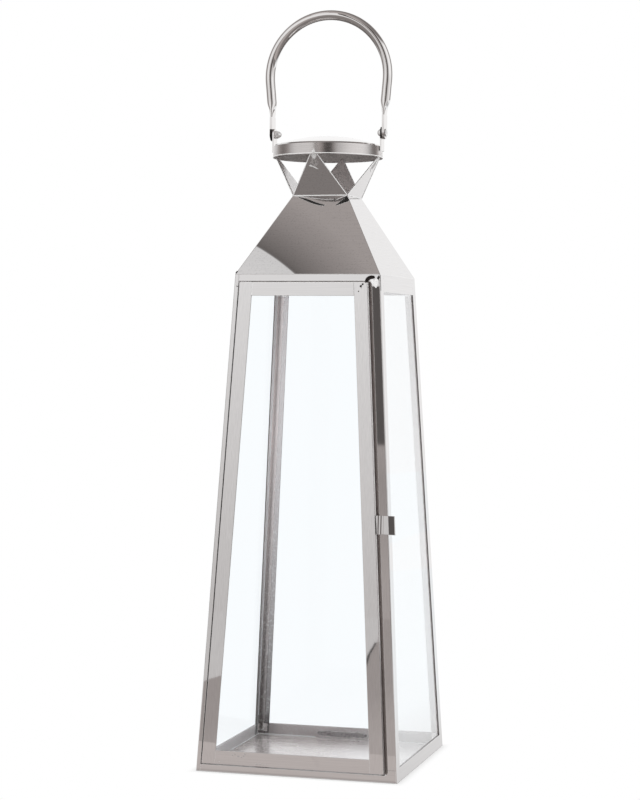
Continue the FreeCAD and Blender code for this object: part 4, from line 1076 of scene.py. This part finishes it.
# %% Solder on the petals
TIP_LUMP = [(-2.2, -2.8), (-0.4, -4.6), (1.6, -3.2), (2.6, -0.8), (1.5, 1.2), (-1.2, 1.4), (-2.5, -0.6)]
RUN_LUMP = [(-4.2, 1.6), (-1.0, 0.6), (2.6, -1.4), (4.8, -2.6), (3.6, -0.8), (0.4, 1.2), (-2.6, 2.6)]
BAND_LUMP = [(-1.8, -1.4), (0.2, -2.4), (1.9, -1.0), (1.2, 0.8), (0.4, 2.6), (-0.5, 1.0), (-1.6, 0.4)]
TIP_SMEAR = [(-3.0, 4.4), (-0.6, 5.6), (2.2, 4.0), (4.4, 0.4), (3.2, -3.4), (0.4, -5.2), (-3.4, -4.6), (-5.0, -1.2),
             (-3.4, 1.0)]
PETAL_UP = Vector((0.0, -(TIP_REACH - NECK_HALF), TIP_UP - NECK_UP)).normalized()
UPRIGHT, FILM_THICK = Vector((0.0, 0.0, 1.0)), 0.06
tip = Vector((0.0, -TIP_REACH, TIP_UP))


def on_four_sides(name, finish, lumps):
    """A piece of the roof with the same lumps on all four sides."""
    shape = bmesh.new()
    for number in range(4):
        turned = Matrix.Rotation(math.pi / 2 * number, 3, "Z")
        for middle, up, points, height in lumps:
            add_lump(shape, turned @ middle, turned @ ACROSS, turned @ up, points, height)
    return new_piece(name, shape, "lantern", "roof_steel", finish)


petal_solder = on_four_sides("petal_solder", solder_steel,
                             [(tip - 3.5 * PETAL_UP, PETAL_UP, TIP_LUMP, 0.35),
                              (tip - 17.0 * PETAL_UP - 2.4 * ACROSS, PETAL_UP, RUN_LUMP, 0.22),
                              (Vector((0.4, -54.35, 599.6)), UPRIGHT, BAND_LUMP, 0.35)])
smear = brushed_sheet("smear", (0.62, 0.59, 0.58), even(500.0), rough=0.30, streak=0.25, bump=0.3, specks=0.7,
                      metallic=0.7, grit=0.8, grain=600.0)
tip_smears = on_four_sides("tip_smears", smear,
                           [(tip - 11.5 * PETAL_UP - 0.6 * ACROSS, PETAL_UP, TIP_SMEAR, FILM_THICK)])
print("on the petals:", petal_solder.name, tip_smears.name)

# %% [markdown]
# ## Painted reflection below the vent
# Just below the neck the front roof plate mirrors black: a thin crescent at the left and a pointed patch at the
# right. Both are a painted reflection. A dark mark painted in the roof's material would come out on all four plates.
# Two black films, no thicker than the smears above, lie only where they belong.

# %% Painted reflection below the vent
REFLECTION_CRESCENT = [(-22.4, 557.3), (-14.0, 555.6), (-7.5, 553.4), (-2.0, 551.4), (3.5, 549.8), (7.4, 548.4),
                 (3.0, 547.9), (-2.0, 549.0), (-7.5, 550.7), (-14.0, 553.2)]
REFLECTION_PATCH = [(17.0, 548.0), (20.6, 551.5), (24.4, 554.9), (25.6, 557.2), (27.6, 557.4), (29.6, 555.0),
              (30.4, 552.6), (24.6, 550.2)]
BASE_WIDE, EAVE_WIDE, EAVE_UP = 200.0, 144.8, 480.0
ROOF_LEAN = (EAVE_WIDE / 2 - NECK_HALF) / (NECK_UP - EAVE_UP)
ROOF_UP = Vector((0.0, ROOF_LEAN, 1.0)).normalized()
black_reflection = brushed_sheet("black_reflection", (0.022, 0.020, 0.019), even(900.0), rough=0.7, streak=0.1, bump=0.0, specks=0.0,
                     clouds=0.1, metallic=0.2)

shape = bmesh.new()
for film in (REFLECTION_CRESCENT, REFLECTION_PATCH):
    place_x, level = [sum(point[part] for point in film) / len(film) for part in (0, 1)]
    middle = Vector((place_x, -(EAVE_WIDE / 2 - ROOF_LEAN * (level - EAVE_UP)), level))
    edge = [(x - place_x, (up - level) / ROOF_UP.z) for x, up in reversed(film)]
    add_lump(shape, middle, ACROSS, ROOF_UP, edge, FILM_THICK)
vent_dark_reflection = new_piece("vent_dark_reflection", shape, "lantern", "roof_steel", black_reflection)
print("soot:", vent_dark_reflection.name)

# %% [markdown]
# ## Places on the front face
# The front leans inward, so a mark on it is placed by how far across and how high it is, and the lean gives its
# depth. Marks are lumps of solder or flux, and small ones share one drop's edge, drawn out wide or high.

# %% Helpers for the front face
SPECK = [(-1.0, -0.5), (0.0, -1.0), (1.0, -0.2), (0.6, 0.9), (-0.7, 0.7)]
LEAN = (BASE_WIDE - EAVE_WIDE) / 2 / EAVE_UP
FACE_UP = Vector((0.0, LEAN, 1.0)).normalized()


def half_at(level):
    """Half the lantern's width at a height."""
    return BASE_WIDE / 2 - LEAN * level


def on_front(place_x, level, behind=0.0):
    """A point on the front face, or a little behind it, at a place across and a height."""
    return Vector((place_x, -half_at(level) + behind, level))


def front_marks(name, body, slot, finish, marks):
    """A piece of low lumps on the front face: place across, height, edge and thickness of each."""
    shape = bmesh.new()
    for place_x, level, points, height in marks:
        add_lump(shape, on_front(place_x, level), ACROSS, FACE_UP, points, height)
    return new_piece(name, shape, body, slot, finish)


def speck_of(wide, high):
    """The edge of a small drop."""
    return [(wide * u, high * v) for u, v in SPECK]


print("the front leans", round(math.degrees(math.atan(LEAN)), 2), "degrees")

# %% [markdown]
# ## Solder at the corner above the latch
# Post, header and roof meet above the latch, and the joint took the most solder: a lump painted nearly white, a
# painted highlight, with a dark arc and patch round it that are a painted reflection, drops of flux on the door, and
# small lumps at the left end. Dark lines run down the edge of the post and over the roof's left corner. The door's
# drops ride on the door, and the rest on the lantern.

# %% Solder at the corner above the latch
CORNER_LUMP = [(-4.2, 2.6), (-2.4, 4.0), (-0.4, 2.6), (1.6, 4.6), (3.4, 3.2), (3.0, -0.4), (1.6, -4.6), (-0.8, -2.8),
               (-3.2, -0.2)]
ARC_REFLECTION = [(-5.0, -3.6), (-4.2, 0.6), (-0.6, 3.2), (3.8, 3.2), (5.0, 1.0), (3.0, 0.0), (0.6, -0.4), (-0.6, -1.6),
             (-2.6, -3.2)]
SIDE_REFLECTION = [(-1.8, -4.0), (-1.0, 0.4), (1.0, 3.2), (2.2, 1.4), (1.0, -1.0), (0.2, -4.4)]
DOOR_STAINS = [(53.8, 468.6, 1.2), (55.6, 470.4, 1.0), (51.6, 463.6, 0.7), (54.3, 467.0, 0.5)]
marks = [
    front_marks("corner_solder", "lantern", "frame_steel", painted_highlight, [(67.4, 471.4, CORNER_LUMP, 0.5)]),
    front_marks("corner_reflection_marks", "lantern", "frame_steel", stain_shade_and_reflection,
                [(62.6, 475.4, ARC_REFLECTION, 0.12), (70.2, 475.6, SIDE_REFLECTION, 0.12)]),
    front_marks("door_stains", "door", "door_steel", stain_shade_and_reflection,
                [(place_x, level, speck_of(size, size), 0.1) for place_x, level, size in DOOR_STAINS]),
    front_marks("left_solder", "lantern", "frame_steel", solder_steel, [(-70.4, 470.4, speck_of(1.1, 1.6), 0.4)]),
    front_marks("left_stain", "lantern", "frame_steel", stain_shade_and_reflection, [(-70.0, 468.2, speck_of(0.7, 0.6), 0.15)]),
    bead_piece("corner_lines", "lantern", "frame_steel", stain_shade_and_reflection,
               [([Vector((half_at(level), 0.9 - half_at(level), level)) for level in (464.0, 479.4)], 0.35),
                ([Vector((-71.7, -71.7, 481.0)), Vector((-70.5, -70.5, 483.1))], 0.7)])]
print("corner marks:", [piece.name for piece in marks])

# %% [markdown]
# ## Spilt solder inside
# Nobody polishes the inside, and a dull patch of spilt solder is left on the back sill. Its edge is ragged, and
# drawing it point by point would be slow: a few waves of different lengths are added to a long oval instead, and
# loose drops lie above and below it.

# %% Spilt solder
PATCH_LONG, PATCH_HIGH, PATCH_POINTS, DROPS = 27.0, 2.9, 44, 26
PATCH_UP, PATCH_BACK, DROP_BACK = 5.4, 98.62, 98.93
dull_solder = brushed_sheet("dull_solder", (0.36, 0.33, 0.33), even(500.0), rough=0.4, streak=0.3, bump=0.4,
                            specks=0.75, metallic=0.5, grit=0.9, grain=500.0)
oval = []
for turn in turns_of(PATCH_POINTS):
    ragged = 1 + 0.10 * math.sin(7 * turn + 0.4) + 0.09 * math.sin(17 * turn + 1.3) * (1.2 + math.cos(turn))
    reach = [math.copysign(abs(part) ** 0.6, part) for part in (math.cos(turn), math.sin(turn))]
    oval.append((PATCH_LONG * reach[0], PATCH_HIGH * reach[1] * ragged))
shape = bmesh.new()
inner_up = Vector((0.0, -LEAN, 1.0)).normalized()
add_lump(shape, Vector((-7.0, PATCH_BACK, PATCH_UP)), ACROSS, inner_up, oval, 0.18)
for number in range(DROPS):
    size = 0.35 + 0.25 * math.sin(2.3 * number) ** 2
    rise = 3.7 + 0.9 * math.sin(4.1 * number) if number % 2 else -3.0 + 0.3 * math.sin(4.1 * number)
    drop = Vector((-20.0 + 1.75 * number, 0.0, PATCH_UP)) + rise * inner_up
    drop.y = DROP_BACK - LEAN * drop.z
    add_lump(shape, drop, ACROSS, inner_up, [(size * math.cos(turn), size * math.sin(turn)) for turn in range(6)], 0.12)
sill_smudge = new_piece("sill_smudge", shape, "lantern", "frame_steel", dull_solder)
print("spilt solder:", sill_smudge.name, "with", DROPS, "drops")

# %% [markdown]
# ## Seams inside
# The floor plate is soldered in along its edges, and one run goes down the back left post. Their beads are painted
# nearly white, a painted highlight. They are straight, so each is a fine bead between two points.

# %% Seams inside
SEAM_UP, SEAM_RADIUS, RUN_RADIUS = 1.25, 0.5, 0.4
SEAMS = [((-98.3, -70.0), (-98.3, 97.6)), ((-97.6, 98.3), (-36.0, 98.3)), ((21.0, 98.3), (97.6, 98.3))]
post_run = bead_piece("post_run", "lantern", "frame_steel", painted_highlight,
                      [([Vector((-(98.75 - LEAN * level), 93.5 - LEAN * level, level)) for level in (22.0, 466.0)],
                        RUN_RADIUS)])
floor_seams = bead_piece("floor_seams", "lantern", "floor_steel", painted_highlight,
                         [([Vector((*end, SEAM_UP)) for end in seam], SEAM_RADIUS) for seam in SEAMS])
print("seams inside:", post_run.name, floor_seams.name)

# %% [markdown]
# ## The gap over the door
# The gap along the lower edge of the header, just over the door, lies in shade. The line is as fine as the gap
# itself: a dark bead under the edge paints that shade, and a bright one on the door's own top edge, which is broken
# with a file, is a painted highlight. A short one marks the joint of the top rail and the hinge stile.

# %% Header gap shade
header_gap_shade = bead_piece("header_gap_shade", "lantern", "frame_steel", stain_shade_and_reflection,
                         [([on_front(place_x, 473.1, 0.35) for place_x in (-56.0, 58.0)], 0.32)])
door_edge = bead_piece("door_top_edge", "door", "door_steel", painted_highlight,
                       [([on_front(place_x, 472.25, 0.25) for place_x in (-66.0, 58.0)], 0.3),
                        ([on_front(-54.4 - LEAN * (472.0 - level), level, 0.15) for level in (460.2, 471.8)], 0.35)])
print("gap over the door:", header_gap_shade.name, door_edge.name)

# %% [markdown]
# ## Marks on the bottom rail
# Small dull marks of spilt solder are left on the left half of the bottom rail. They stand a little proud and catch
# the light, so they are lumps and no paint: each is a drop's edge, drawn out flat.

# %% Marks on the bottom rail
RAIL_MARKS = [(-76.6, 10.2, 1.0, 0.35), (-39.0, 10.0, 1.3, 0.35), (-35.4, 10.5, 1.0, 0.45), (-32.0, 9.7, 1.2, 0.35),
              (-28.8, 10.3, 0.7, 0.35), (-60.4, 18.6, 1.1, 0.4), (-57.4, 16.4, 1.2, 0.4), (-54.0, 15.6, 0.9, 0.4),
              (-51.6, 17.2, 0.5, 0.9), (-50.6, 19.2, 0.5, 0.8), (-62.8, 17.2, 0.5, 0.7)]
rail_marks = front_marks("rail_marks", "door", "door_steel", dull_solder,
                         [(place_x, level, speck_of(wide, high), 0.08) for place_x, level, wide, high in RAIL_MARKS])
print("bottom rail:", rail_marks.name, "with", len(RAIL_MARKS), "marks")

# %% [markdown]
# ## The hem of the door's latch side
# The free edge of the latch stile is rolled over, so that the hand meets no sharp edge. It shows as a thin light line
# with a dark one beside it. It is one long bead that follows the leaning edge.

# %% Stile hem
HEM_INSET, HEM_BEHIND, HEM_RADIUS, HEM_LOW, HEM_HIGH = 12.6, 0.9, 0.65, 8.2, 471.8
hem = [on_front(half_at(level) - HEM_INSET, level, HEM_BEHIND) for level in (HEM_LOW, HEM_HIGH)]
stile_hem = bead_piece("stile_hem", "door", "door_steel", hem_steel, [(hem, HEM_RADIUS)], sides=14)
print("hem:", stile_hem.name)
